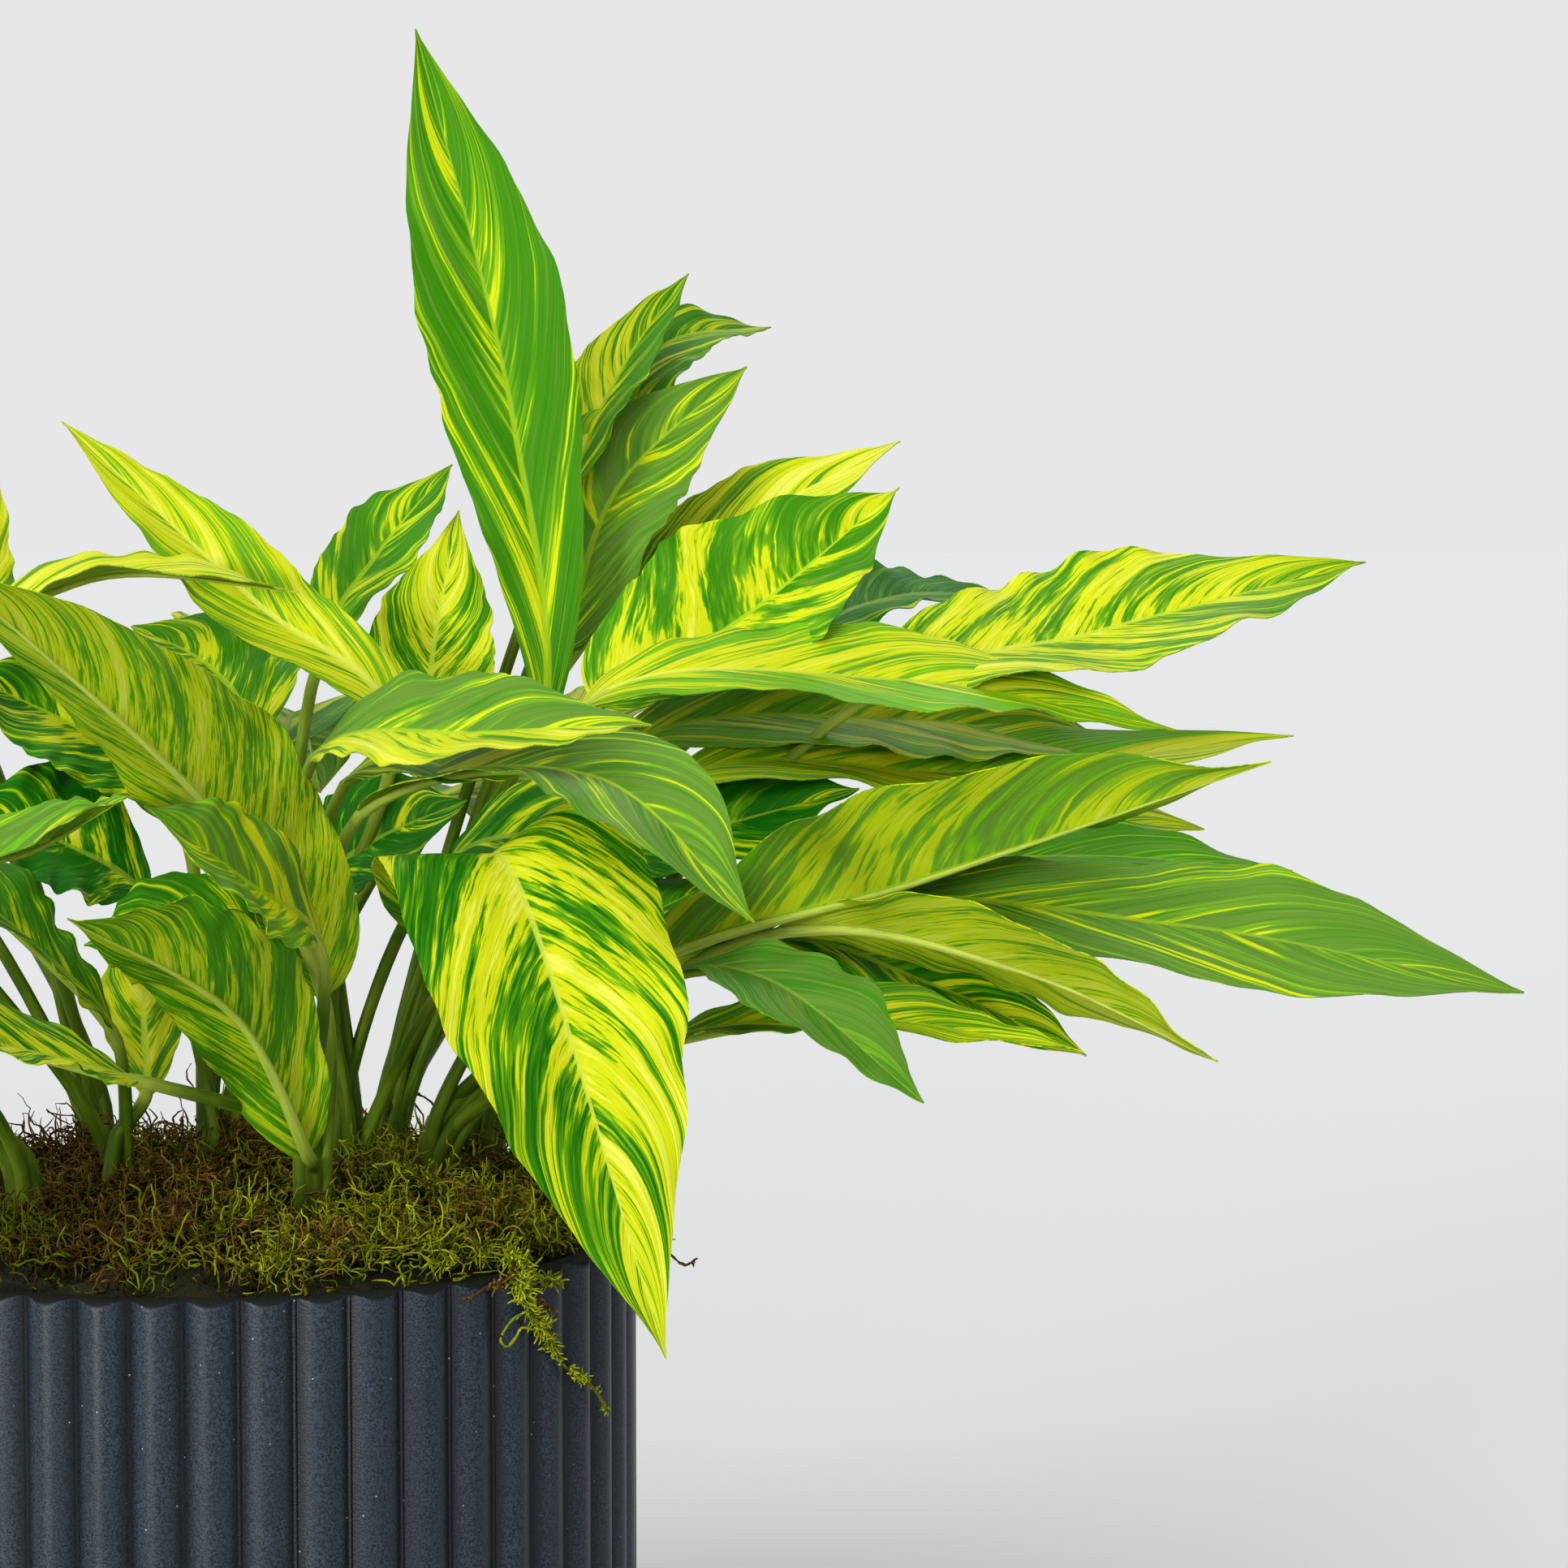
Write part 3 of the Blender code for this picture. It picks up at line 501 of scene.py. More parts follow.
def new_material(name, roughness, specular=0.5, tint=(1.0, 1.0, 1.0)):
    material = bpy.data.materials.new(name)
    material.use_nodes = True
    shader = material.node_tree.nodes["Principled BSDF"]
    for label, value in (("Roughness", roughness), ("Specular IOR Level", specular),
                         ("Specular Tint", (*tint, 1))):
        shader.inputs[label].default_value = value
    return material, material.node_tree


def dress(material, colour, relief=None, roughness=None):
    """Joins a colour to a material and, if given, a relief (height, strength, metres) and a roughness."""
    tree = material.node_tree
    shader = tree.nodes["Principled BSDF"]
    tree.links.new(colour, shader.inputs["Base Color"])
    if roughness is not None:
        tree.links.new(roughness, shader.inputs["Roughness"])
    if relief is not None:
        bump = put(tree, "ShaderNodeBump", dict(zip(("Height", "Strength", "Distance"), relief)))
        tree.links.new(bump.outputs[0], shader.inputs["Normal"])
    return material


def fill_group(tree, group, inputs):
    return put(tree, "ShaderNodeGroup", inputs, node_tree=group)


def make_vein_streaks():
    """Streaks that run along the veins: broad bands, narrow stripes and hair-fine lines."""
    number = "NodeSocketFloat"
    tree, given, out = new_group(
        "vein_streaks", [(label, number, 0.0) for label in ("Across veins", "Along veins", "Seed")],
        [(label, number) for label in ("Bands", "Stripes", "Lines")])
    across, along, seed = (given.outputs[i] for i in range(3))
    waver = put(tree, "ShaderNodeCombineXYZ", {0: times(tree, across, 0.22),
                                               1: times(tree, along, 0.10), 2: seed}).outputs[0]
    across = plus(tree, across, swing(tree, noise(tree, waver, 1.0, 3.0), 5.0))
    for label, per_mm, lengthwise, offset, detail in (("Bands", 0.070, 0.014, 0.0, 1.0),
                                                      ("Stripes", 0.32, 0.075, 7.3, 2.0),
                                                      ("Lines", 0.80, 0.150, 13.1, 2.0)):
        place = put(tree, "ShaderNodeCombineXYZ", {0: times(tree, across, per_mm),
                                                   1: times(tree, along, lengthwise),
                                                   2: plus(tree, seed, offset)}).outputs[0]
        tree.links.new(noise(tree, place, 1.0, detail), out.inputs[label])
    return tree


DEEP_GREEN = (0.005, 0.118, 0.002)
MID_GREEN = (0.038, 0.200, 0.002)
DULL_GREEN = (0.100, 0.212, 0.022)
FRESH_GREEN = (0.130, 0.400, 0.003)
LIME = (0.330, 0.500, 0.004)
YELLOW = (0.540, 0.585, 0.005)
CREAM = (0.720, 0.715, 0.105)
UNDER_GREEN = (0.085, 0.205, 0.006)
LIME_GREEN = (0.160, 0.400, 0.003)
RIB_GREEN = (0.190, 0.330, 0.020)
STALK_SHADE = (0.055, 0.110, 0.003)
STALK_GREEN = (0.140, 0.215, 0.010)
STALK_LINE = (0.04, 0.10, 0.01)
STALK_FOOT_TONE = (0.060, 0.075, 0.010)
UNDER_RIB_GREEN = (0.260, 0.400, 0.025)
UNDER_RIB_YELLOW = (0.560, 0.620, 0.100)
SHEEN_TINT = (0.75, 1.00, 0.32)


def make_blade_material(streaks):
    material, tree = new_material("striped_blade", 0.40, 0.13, SHEEN_TINT)
    across, along, beside_rib = facts_of(tree, "vein")
    yellow, share, tone = facts_of(tree, "habit")
    seed, under, fineness = facts_of(tree, "half")
    bands, stripes, lines = fill_group(tree, streaks, {
        "Across veins": times(tree, across, fineness),
        "Along veins": times(tree, along, scaled(tree, fineness, 0.75, 0.15)), "Seed": seed}).outputs
    from_rib = maths(tree, "ABSOLUTE", beside_rib)
    field = plus(tree, swing(tree, bands, 2.1), swing(tree, stripes, 1.6))
    field = plus(tree, field, swing(tree, lines, scaled(tree, fineness, 0.75, 0.25)))
    field = plus(tree, field, ramp(tree, from_rib, 15.0, 3.0, -0.05, 0.09))
    over = plus(tree, maths(tree, "SUBTRACT", field, 0.62), times(tree, yellow, 1.25))
    is_yellow = times(tree, ramp(tree, over, -0.09, 0.11), ramp(tree, under, 0.0, 1.0, 1.0, 0.78))
    lightness = plus(tree, tone, swing(tree, stripes, 0.9))
    green = DEEP_GREEN
    for low, high, lighter in ((0.05, 0.40, MID_GREEN), (0.42, 0.66, DULL_GREEN), (0.72, 0.92, FRESH_GREEN)):
        green = blend(tree, ramp(tree, lightness, low, high), green, lighter)
    green = blend(tree, ramp(tree, over, -0.40, 0.02, 0.0, 0.70), green, LIME_GREEN)
    light = blend(tree, ramp(tree, over, 0.20, 0.75, 0.0, 0.75), YELLOW, CREAM)
    light = blend(tree, ramp(tree, lines, 0.52, 0.30, 0.0, 0.35), light, LIME)
    colour = blend(tree, is_yellow, green, light)
    rib_reach = ramp(tree, share, 0.0, 1.0, 2.1, 0.35)
    on_rib = ramp(tree, maths(tree, "DIVIDE", from_rib, rib_reach), 1.0, 0.55)
    rib = blend(tree, ramp(tree, yellow, 0.08, 0.35), RIB_GREEN, LIME)
    rib = blend(tree, ramp(tree, yellow, 0.35, 0.70), rib, CREAM)
    colour = blend(tree, times(tree, on_rib, 0.8), colour, rib)
    colour = blend(tree, times(tree, under, 0.25), colour, UNDER_GREEN)
    height = plus(tree, times(tree, lines, 0.6), times(tree, stripes, 1.2))
    rough = plus(tree, scaled(tree, lines, 0.16, 0.38), times(tree, under, 0.16))
    return dress(material, colour, (height, 0.55, 0.0008), rough)


def make_stalk_material(streaks):
    material, tree = new_material("leaf_stalk", 0.45, 0.20, SHEEN_TINT)
    across, along = facts_of(tree, "vein")[:2]
    yellow, share = facts_of(tree, "habit")[:2]
    stripes, lines = fill_group(tree, streaks, {
        "Across veins": times(tree, across, 2.0), "Along veins": times(tree, along, 0.4),
        "Seed": facts_of(tree, "half")[0]}).outputs[1:]
    stalk = blend(tree, ramp(tree, stripes, 0.35, 0.65), STALK_SHADE, STALK_GREEN)
    rib = blend(tree, yellow, UNDER_RIB_GREEN, UNDER_RIB_YELLOW)
    colour = blend(tree, ramp(tree, share, -0.35, 0.06), stalk, rib)
    colour = blend(tree, ramp(tree, share, -0.85, -1.15, 0.0, 0.6), colour, STALK_FOOT_TONE)
    colour = blend(tree, ramp(tree, lines, 0.55, 0.40, 0.0, 0.25), colour, STALK_LINE)
    return dress(material, colour, (stripes, 0.3, 0.0004), scaled(tree, lines, 0.2, 0.36))


# Pot

POT_RADIUS = 0.150
POT_HEIGHT = 0.260
BORE_RADIUS = 0.136
FLOOR_TOP = 0.018
RIBS = 48
RIB_STATIONS = 24
RIM_START = 0.2566
RIB_DEPTH = 0.0047
BEAD_HEIGHT = 0.0013
BEAD_WIDTH = 0.050
CLEAR = 0.0007


def deselect_all():
    if bpy.context.mode != "OBJECT":
        bpy.ops.object.mode_set(mode="OBJECT")
    bpy.ops.object.select_all(action="DESELECT")


def edit_whole():
    """Opens the active mesh for editing, all of it selected."""
    bpy.ops.object.mode_set(mode="EDIT")
    bpy.ops.mesh.select_all(action="SELECT")


def end_edit():
    """Turns every face outward and closes the mesh again."""
    bpy.ops.mesh.select_all(action="SELECT")
    bpy.ops.mesh.normals_make_consistent(inside=False)
    bpy.ops.object.mode_set(mode="OBJECT")


def rib_inset(angle):
    """How far the wall lies inside the pot's radius: rounded ribs with a fine bead between them."""
    across = abs((angle * RIBS / math.tau) % 1 * 2 - 1)
    bead = BEAD_HEIGHT * math.exp(-((1 - across) / BEAD_WIDTH) ** 2)
    return RIB_DEPTH * across ** 1.9 - bead


def extrude_up(distance):
    bpy.ops.mesh.extrude_region_move(TRANSFORM_OT_translate={"value": (0, 0, distance)})


def scale_ring(factor):
    bpy.ops.transform.resize(value=(factor, factor, 1))


def press_ribs(shape, reach):
    """Draws the selected ring in to the ribs' outline, and no further out than `reach`."""
    for vertex in shape.verts:
        if vertex.select:
            angle = math.atan2(vertex.co.y, vertex.co.x)
            radius = min(POT_RADIUS - rib_inset(angle), reach)
            vertex.co.x, vertex.co.y = radius * math.cos(angle), radius * math.sin(angle)


def make_pot():
    """A ring drawn into ribs, extruded up, turned over the rim and down the plain bore."""
    deselect_all()
    bpy.ops.mesh.primitive_circle_add(vertices=RIBS * RIB_STATIONS, radius=POT_RADIUS, location=(0, 0, 0))
    pot = bpy.context.object
    pot.name = pot.data.name = "ribbed_pot"
    edit_whole()
    shape = bmesh.from_edit_mesh(pot.data)
    press_ribs(shape, POT_RADIUS)
    scale_ring(0.980)
    level = 0.0
    for height, reach in ((0.0008, 0.1480), (0.0026, 0.1496), (0.006, POT_RADIUS), (0.13, POT_RADIUS),
                          (RIM_START, POT_RADIUS), (0.2577, 0.1498), (0.2587, 0.1493), (0.2595, 0.1484),
                          (0.2599, 0.1474), (POT_HEIGHT, 0.1462)):
        extrude_up(height - level)
        level = height
        shape = bmesh.from_edit_mesh(pot.data)
        press_ribs(shape, reach)
    for factor, drop in ((0.958, 0.0), (0.988, -0.0007), (0.994, -0.0020)):
        extrude_up(drop)
        bpy.ops.transform.tosphere(value=1)
        scale_ring(factor)
    shape = bmesh.from_edit_mesh(pot.data)
    ring = [v for v in shape.verts if v.select]
    radius = sum(v.co.xy.length for v in ring) / len(ring)
    scale_ring(BORE_RADIUS / radius)
    extrude_up(FLOOR_TOP - max(v.co.z for v in ring))
    bpy.ops.mesh.edge_face_add()
    bpy.ops.mesh.inset(thickness=0.06)
    bpy.ops.mesh.select_all(action="DESELECT")
    shape = bmesh.from_edit_mesh(pot.data)
    for edge in shape.edges:
        if edge.is_boundary:
            edge.select = True
    extrude_up(0)
    bpy.ops.transform.resize(value=(0.93, 0.93, 1))
    bpy.ops.transform.tosphere(value=1)
    bpy.ops.mesh.edge_face_add()
    bpy.ops.mesh.inset(thickness=0.06)
    end_edit()
    bpy.ops.object.shade_smooth_by_angle(angle=math.radians(40))
    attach(pot, "root")
    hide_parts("pot")
    return pot


def make_fine_grain():
    """Fine grain over a surface, and a broader mottling of it."""
    number = "NodeSocketFloat"
    tree, given, out = new_group("fine_grain", [("Grains per metre", number, 1000.0)],
                                 [("Grain", number), ("Mottle", number)])
    place = put(tree, "ShaderNodeTexCoord").outputs["Object"]
    tree.links.new(noise(tree, place, given.outputs[0], 3.0), out.inputs["Grain"])
    tree.links.new(noise(tree, place, times(tree, given.outputs[0], 0.06)), out.inputs["Mottle"])
    return tree


GLAZE_SHADE = (0.004, 0.007, 0.012)
GLAZE_LIGHT = (0.030, 0.043, 0.062)
GLAZE_MOTTLE = (0.013, 0.019, 0.028)
# Painted shadow in the grooves between the ribs
PAINTED_GROOVE_SHADOW = (0.0020, 0.0030, 0.0045)
SPECK_TONE = (0.42, 0.46, 0.50)
# Painted shadow over the top of the rim, where the moss and leaves above shade it
PAINTED_RIM_SHADOW = (0.003, 0.005, 0.004)


def make_glaze(grain_group):
    material, tree = new_material("slate_blue_glaze", 0.42, 0.26)
    place = put(tree, "ShaderNodeTexCoord").outputs["Object"]
    grain, mottle = fill_group(tree, grain_group, {"Grains per metre": 1300.0}).outputs
    colour = blend(tree, ramp(tree, grain, 0.35, 0.65), GLAZE_SHADE, GLAZE_LIGHT)
    colour = blend(tree, ramp(tree, mottle, 0.35, 0.65, 0.0, 0.4), colour, GLAZE_MOTTLE)
    x, y = put(tree, "ShaderNodeSeparateXYZ", {0: place}).outputs[:2]
    turn = times(tree, maths(tree, "ARCTAN2", y, x), RIBS / math.tau)
    across = maths(tree, "ABSOLUTE", maths(tree, "MULTIPLY_ADD", maths(tree, "FRACT", turn), 2.0, -1.0))
    # Painted shadow: the grooves between the ribs are darkened towards near-black, standing in for the shade
    # that falls in them
    colour = blend(tree, ramp(tree, across, 0.50, 0.98, 0.0, 0.80), colour, PAINTED_GROOVE_SHADOW)
    cells = put(tree, "ShaderNodeTexVoronoi", {"Vector": place, "Scale": 190.0})
    pick = put(tree, "ShaderNodeSeparateColor", {0: cells.outputs["Color"]})
    size = ramp(tree, pick.outputs[0], 0.0, 1.0, 0.02, 0.075)
    speck = ramp(tree, maths(tree, "DIVIDE", cells.outputs["Distance"], size), 1.0, 0.55)
    colour = blend(tree, times(tree, speck, 0.75), colour, SPECK_TONE)
    facing = put(tree, "ShaderNodeSeparateXYZ", {0: put(tree, "ShaderNodeNewGeometry").outputs["Normal"]})
    # Painted shadow: faces that turn upward over the rim are darkened to near-black, for the shade of the
    # moss and leaves above; the same share also makes them rougher
    rim_shadow_share = ramp(tree, facing.outputs[2], 0.30, 0.62)
    colour = blend(tree, rim_shadow_share, colour, PAINTED_RIM_SHADOW)
    rough = plus(tree, scaled(tree, grain, 0.22, 0.29), times(tree, rim_shadow_share, 0.40))
    return dress(material, colour, (grain, 0.30, 0.0004), rough)


def make_soil_material(grain_group):
    material, tree = new_material("crumbly_soil", 0.95)
    grain, mottle = fill_group(tree, grain_group, {"Grains per metre": 420.0}).outputs
    colour = blend(tree, ramp(tree, grain, 0.38, 0.64), (0.010, 0.006, 0.003), (0.060, 0.038, 0.020))
    colour = blend(tree, ramp(tree, mottle, 0.45, 0.70, 0.0, 0.5), colour, (0.030, 0.019, 0.010))
    return dress(material, colour, (grain, 0.8, 0.002))


# Moss

MOSS_EDGE = 0.257
MOSS_CROWN = 0.280
LUMP = 0.0042
HOLLOW = 0.0095
# Depth in the cushion at which the painted shade of the strands is darkest
PAINTED_SHADE_DEPTH = 0.008

# How far out the strands reach, from where on they lie on the rim, and where a frond leaves it
STRAND_REACH = 0.1440
RIM_FROM = 0.1345
RIM_UNTIL = 0.147

# How deep strands start and how far they sink into the cushion, and how high they pile at the rim
ROOT_DEPTH = 0.003
SINK = 0.0035
RIM_PILE = 0.0055

# Lightness of the strands at the left, and what they gain towards the right
LEFT_LIGHT = 0.06
LIGHT_GAIN = 1.15


def moss_height(x, y):
    """Height of the cushion: mounded, with lumps and one hollow near the front, which the strands' painted
    shade darkens.
    """
    out = np.clip(np.hypot(x, y) / BORE_RADIUS, 0, 1)
    lumps = (np.sin(x * 71 + 1.3) * np.sin(y * 66 + 0.4) + 0.7 * np.sin(x * 143 + y * 81 + 2.0)
             + 0.6 * np.sin(y * 167 - x * 59) + 0.4 * np.sin(x * 260 + 0.7) * np.sin(y * 231))
    hollow = np.exp(-((x - 0.010) ** 2 + ((y + 0.070) * 0.7) ** 2) / (2 * 0.013 ** 2))
    return cushion_height(x, y) + (LUMP * lumps - HOLLOW * hollow) * (1 - out ** 8)


def cushion_height(x, y):
    """Height of the cushion without its lumps."""
    out = np.clip(np.hypot(x, y) / BORE_RADIUS, 0, 1)
    return MOSS_EDGE + (MOSS_CROWN - MOSS_EDGE) * (1 - out ** 3) ** 0.7


def make_moss_bed():
    """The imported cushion, merged, divided finely and pressed into humps."""
    deselect_all()
    bed = put_in_scene("moss_bed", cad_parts["moss"].data.copy())
    bed.data.name = "moss_bed"
    bed.select_set(True)
    bpy.context.view_layer.objects.active = bed
    edit_whole()
    bpy.ops.mesh.remove_doubles(threshold=0.00002)
    bpy.ops.mesh.subdivide(number_cuts=3, smoothness=0.0)
    end_edit()
    points = np.empty(len(bed.data.vertices) * 3)
    bed.data.vertices.foreach_get("co", points)
    points = points.reshape(-1, 3)
    draw = np.random.default_rng(5)
    upper = points[:, 2] > MOSS_EDGE - 0.004
    heights = (moss_height(points[:, 0], points[:, 1]) - LUMP
               + draw.uniform(-0.0012, 0.0006, len(points)))
    points[upper, 2] = np.minimum(points[upper, 2], heights[upper])
    bed.data.vertices.foreach_set("co", points.ravel())
    bed.data.update()
    bpy.ops.object.shade_smooth()
    return bed


def tubes(lines, radii):
    """Three-sided strands along many lines at once."""
    count, steps = lines.shape[:2]
    tangents = units(np.gradient(lines, axis=1), 1e-12)
    side = units(np.cross(tangents, np.array([0.31, 0.17, 0.93])), 1e-12)
    other = np.cross(tangents, side)
    angles = math.tau * np.arange(3) / 3
    rings = (lines[:, :, None] + side[:, :, None] * (np.cos(angles) * radii[..., None])[..., None]
             + other[:, :, None] * (np.sin(angles) * radii[..., None])[..., None])
    strand = grid_faces(steps, 3, closed=True)
    last = (steps - 1) * 3
    offsets = (np.arange(count) * steps * 3)[:, None, None]
    quads = (strand[None] + offsets).reshape(-1, 4)
    caps = (np.array([[2, 1, 0], [last, last + 1, last + 2]])[None] + offsets).reshape(-1, 3)
    return rings.reshape(-1, 3), quads.tolist() + caps.tolist(), steps * 3


def strands(name, lines, radii, draw, material, hanging=False):
    """One piece of many strands, each with its own shade of colour, and with painted shade that darkens it
    where it lies deep in the cushion.
    """
    points, faces, each = tubes(lines, radii)
    count = len(lines)
    brightness = 1 if hanging else LEFT_LIGHT + LIGHT_GAIN * smooth_step(-0.110, 0.060, lines[:, 0, 0])
    shade = np.repeat(draw.uniform(0, 1, count) * brightness, each)
    along = np.tile(np.repeat(np.linspace(0, 1, lines.shape[1]), 3), count)
    # Painted shade: how deep each point lies in the cushion and its hollows, which darkens the moss colour
    depth = points[:, 2] - 0.6 * moss_height(points[:, 0], points[:, 1]) - 0.4 * cushion_height(
        points[:, 0], points[:, 1])
    height = np.ones(len(points)) if hanging else np.clip(depth / PAINTED_SHADE_DEPTH, -1, 1)
    facts = np.stack([shade, along, height], axis=1)
    obj = make_piece(name, points, faces, (("strand", "POINT", facts),), [material])
    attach(obj, "root")


def curled_lines(count, draw, steps=9, length=(0.010, 0.027), lift=(0.0, 0.0080), curl=0.55,
                 pitch=(-0.2, 0.9), centre=None, spread=None):
    """Lines that start in the cushion, rise, curl and fall back on it."""
    if centre is None:
        radius = BORE_RADIUS * np.sqrt(draw.uniform(0, 1, count))
        turn = draw.uniform(0, math.tau, count)
        x, y = radius * np.cos(turn), radius * np.sin(turn)
    else:
        x = centre[0] + draw.normal(0, spread, count)
        y = centre[1] + draw.normal(0, spread, count)
    z = moss_height(x, y) + draw.uniform(*lift, count) - ROOT_DEPTH
    z += RIM_PILE * smooth_step(0.108, 0.129, np.hypot(x, y))
    heading = draw.uniform(0, math.tau, count)
    bend = draw.normal(0, curl, count)
    climb = draw.uniform(*pitch, count)
    span = draw.uniform(*length, count) / steps
    lines = np.empty((count, steps, 3))
    for k in range(steps):
        lines[:, k] = np.stack([x, y, z], axis=1)
        heading += bend + draw.normal(0, 0.60, count)
        climb = 0.82 * climb + draw.normal(-0.10, 0.50, count)
        x = x + span * np.cos(heading) * np.cos(climb)
        y = y + span * np.sin(heading) * np.cos(climb)
        out = np.hypot(x, y)
        inside = np.minimum(out, STRAND_REACH) / np.maximum(out, 1e-9)
        x, y = x * inside, y * inside
        low = np.where(out > RIM_FROM, POT_HEIGHT + CLEAR, moss_height(x, y) - SINK)
        z = np.maximum(z + span * np.sin(climb), low)
    return lines


def strand_radii(count, steps, draw, thick=(0.00027, 0.00056)):
    """Strands that thin out at both ends and are rough along their length."""
    taper = np.sin(np.linspace(0.22, 2.92, steps)) ** 0.6
    return draw.uniform(*thick, count)[:, None] * taper * draw.uniform(0.7, 1.35, (count, steps))


def make_moss_tones():
    """Colour of a strand from its own shade, its length, and painted shade from how deep it lies."""
    colour = "NodeSocketColor"
    tree, given, out = new_group("strand_tones", [("Dark", colour, (0.02, 0.02, 0.01, 1)),
                                                  ("Light", colour, (0.2, 0.2, 0.05, 1)),
                                                  ("Tip", colour, (0.3, 0.3, 0.1, 1))],
                                 [("Color", colour), ("Relief", "NodeSocketFloat")])
    shade, along, height = facts_of(tree, "strand")
    fleck = noise(tree, put(tree, "ShaderNodeTexCoord").outputs["Object"], 900.0)
    share = maths(tree, "ADD", times(tree, shade, 0.75), times(tree, fleck, 0.35), clamp=True)
    mix = blend(tree, share, given.outputs["Dark"], given.outputs["Light"])
    at_tip = times(tree, ramp(tree, along, 0.50, 1.0), shade)
    mix = blend(tree, at_tip, mix, given.outputs["Tip"])
    # Painted shade: strands turn near-black the deeper they lie in the cushion
    mix = blend(tree, ramp(tree, height, 0.75, -0.30, 0.0, 0.94), mix, (0.008, 0.006, 0.001))
    tree.links.new(mix, out.inputs["Color"])
    tree.links.new(fleck, out.inputs["Relief"])
    return tree


def make_moss_material(name, tones, dark, light, tip):
    material, tree = new_material(name, 0.85, 0.08)
    group = fill_group(tree, tones, {"Dark": (*dark, 1), "Light": (*light, 1), "Tip": (*tip, 1)})
    return dress(material, group.outputs["Color"], (group.outputs["Relief"], 0.6, 0.0005))


def make_bed_material(grain_group):
    material, tree = new_material("matted_moss", 0.95)
    grain, mottle = fill_group(tree, grain_group, {"Grains per metre": 800.0}).outputs
    colour = blend(tree, ramp(tree, mottle, 0.35, 0.65), (0.006, 0.005, 0.001), (0.022, 0.020, 0.003))
    colour = blend(tree, ramp(tree, grain, 0.45, 0.70, 0.0, 0.6), colour, (0.035, 0.042, 0.004))
    return dress(material, colour, (grain, 0.9, 0.0015))


def drifts(x, y):
    """Where the moss is fresh, from -1 to 1: brown on the left, green at the front and right."""
    patches = 0.9 * np.sin(x * 83 + 0.4) * np.sin(y * 77 + 2.1) + 0.6 * np.sin(x * 161 - y * 97)
    at_rim = np.maximum(np.hypot(x, y) - 0.115, 0) / 0.02
    return np.clip(patches + 17.0 * x - 2.0 * y - 0.50 + 0.8 * at_rim, -1, 1)


def keep_where(lines, radii, chance, draw):
    kept = draw.uniform(0, 1, len(lines)) < chance
    return lines[kept], radii[kept]


def line_along(route, steps):
    """A smooth line in metres through every point of a route in mm."""
    path = [np.array(p, float) * MM for p in route]
    return spline([2 * path[0] - path[1]] + path + [2 * path[-1] - path[-2]], steps)


def frond_lines(route, count, draw, reach, bunches, steps=5):
    """Short crooked leaflets that stand out in bunches along a frond, fewer towards its end."""
    middles = draw.uniform(0, 1, bunches)
    fullness = draw.uniform(0.3, 1.0, bunches)
    weights = fullness * (1.3 - middles)
    bunch = draw.choice(bunches, count, p=weights / weights.sum())
    at = np.clip(middles[bunch] + draw.normal(0, 0.4 / bunches, count), 0, 1)
    start = resampled(line_along(route, 12), at)
    lines = np.empty((count, steps, 3))
    way = draw.normal(0, 1, (count, 3))
    way[:, :2] += 0.8 * units(start[:, :2])
    way[:, 2] -= 0.6
    way = units(way)
    size = draw.uniform(*reach, count) * (1.15 - 0.75 * at) * (0.6 + 0.6 * fullness[bunch])
    place = start.copy()
    for k in range(steps):
        lines[:, k] = place
        way = units(way + draw.normal(0, 0.45, (count, 3)))
        place = place + way * (size / steps)[:, None]
    radial = np.hypot(lines[..., 0], lines[..., 1])
    over_rim = np.maximum(lines[..., 2], POT_HEIGHT + CLEAR)
    lines[..., 2] = np.where(radial < RIM_UNTIL, over_rim, lines[..., 2])
    low = lines[..., 2] < POT_HEIGHT
    push = np.where(low, np.maximum(radial, POT_RADIUS + CLEAR), radial) / radial
    lines[..., 0] *= push
    lines[..., 1] *= push
    return lines


# Routes over the rim in mm: the frond, the tuft at its root, its curled thread, dry sprigs, a dry curl
HANGING_FROND = [(94.5, -119, 263), (98.5, -118, 259.5), (100, -117, 254), (104, -114, 245.5),
                 (108.5, -109, 237.5), (114, -103.5, 227), (119.5, -97, 221.5), (125.5, -89.5, 216),
                 (129.5, -83.5, 210), (132, -79, 204)]
RIM_TUFT = [(84, -96, 267), (91, -104, 269), (97, -111, 267), (102, -114, 263), (107, -109, 259),
            (113, -102, 256)]
CURL_LOOP = [(101, -116.5, 248.5), (96.5, -120, 247), (93.5, -122.5, 244.5), (91, -124.2, 240),
             (93.3, -122.5, 237), (96.5, -120, 239.5), (98.6, -118.2, 242.5), (103, -114.5, 241.5)]
TAN_SPRIG = [(97, -112, 265), (94.5, -120, 261.5), (90, -124, 260), (86.3, -126.2, 259.3),
             (81, -129.8, 256.6), (77.3, -132, 256)]
TAN_HOOK = [(101, -113, 255), (104, -112.2, 251.5), (108.8, -107.5, 248.3), (112.7, -103.5, 245.5)]
RIM_CURL = [(143, -8, 258), (149, -14, 260), (157, -16, 255), (163, -18, 249), (168, -15, 245),
            (173, -12, 247)]

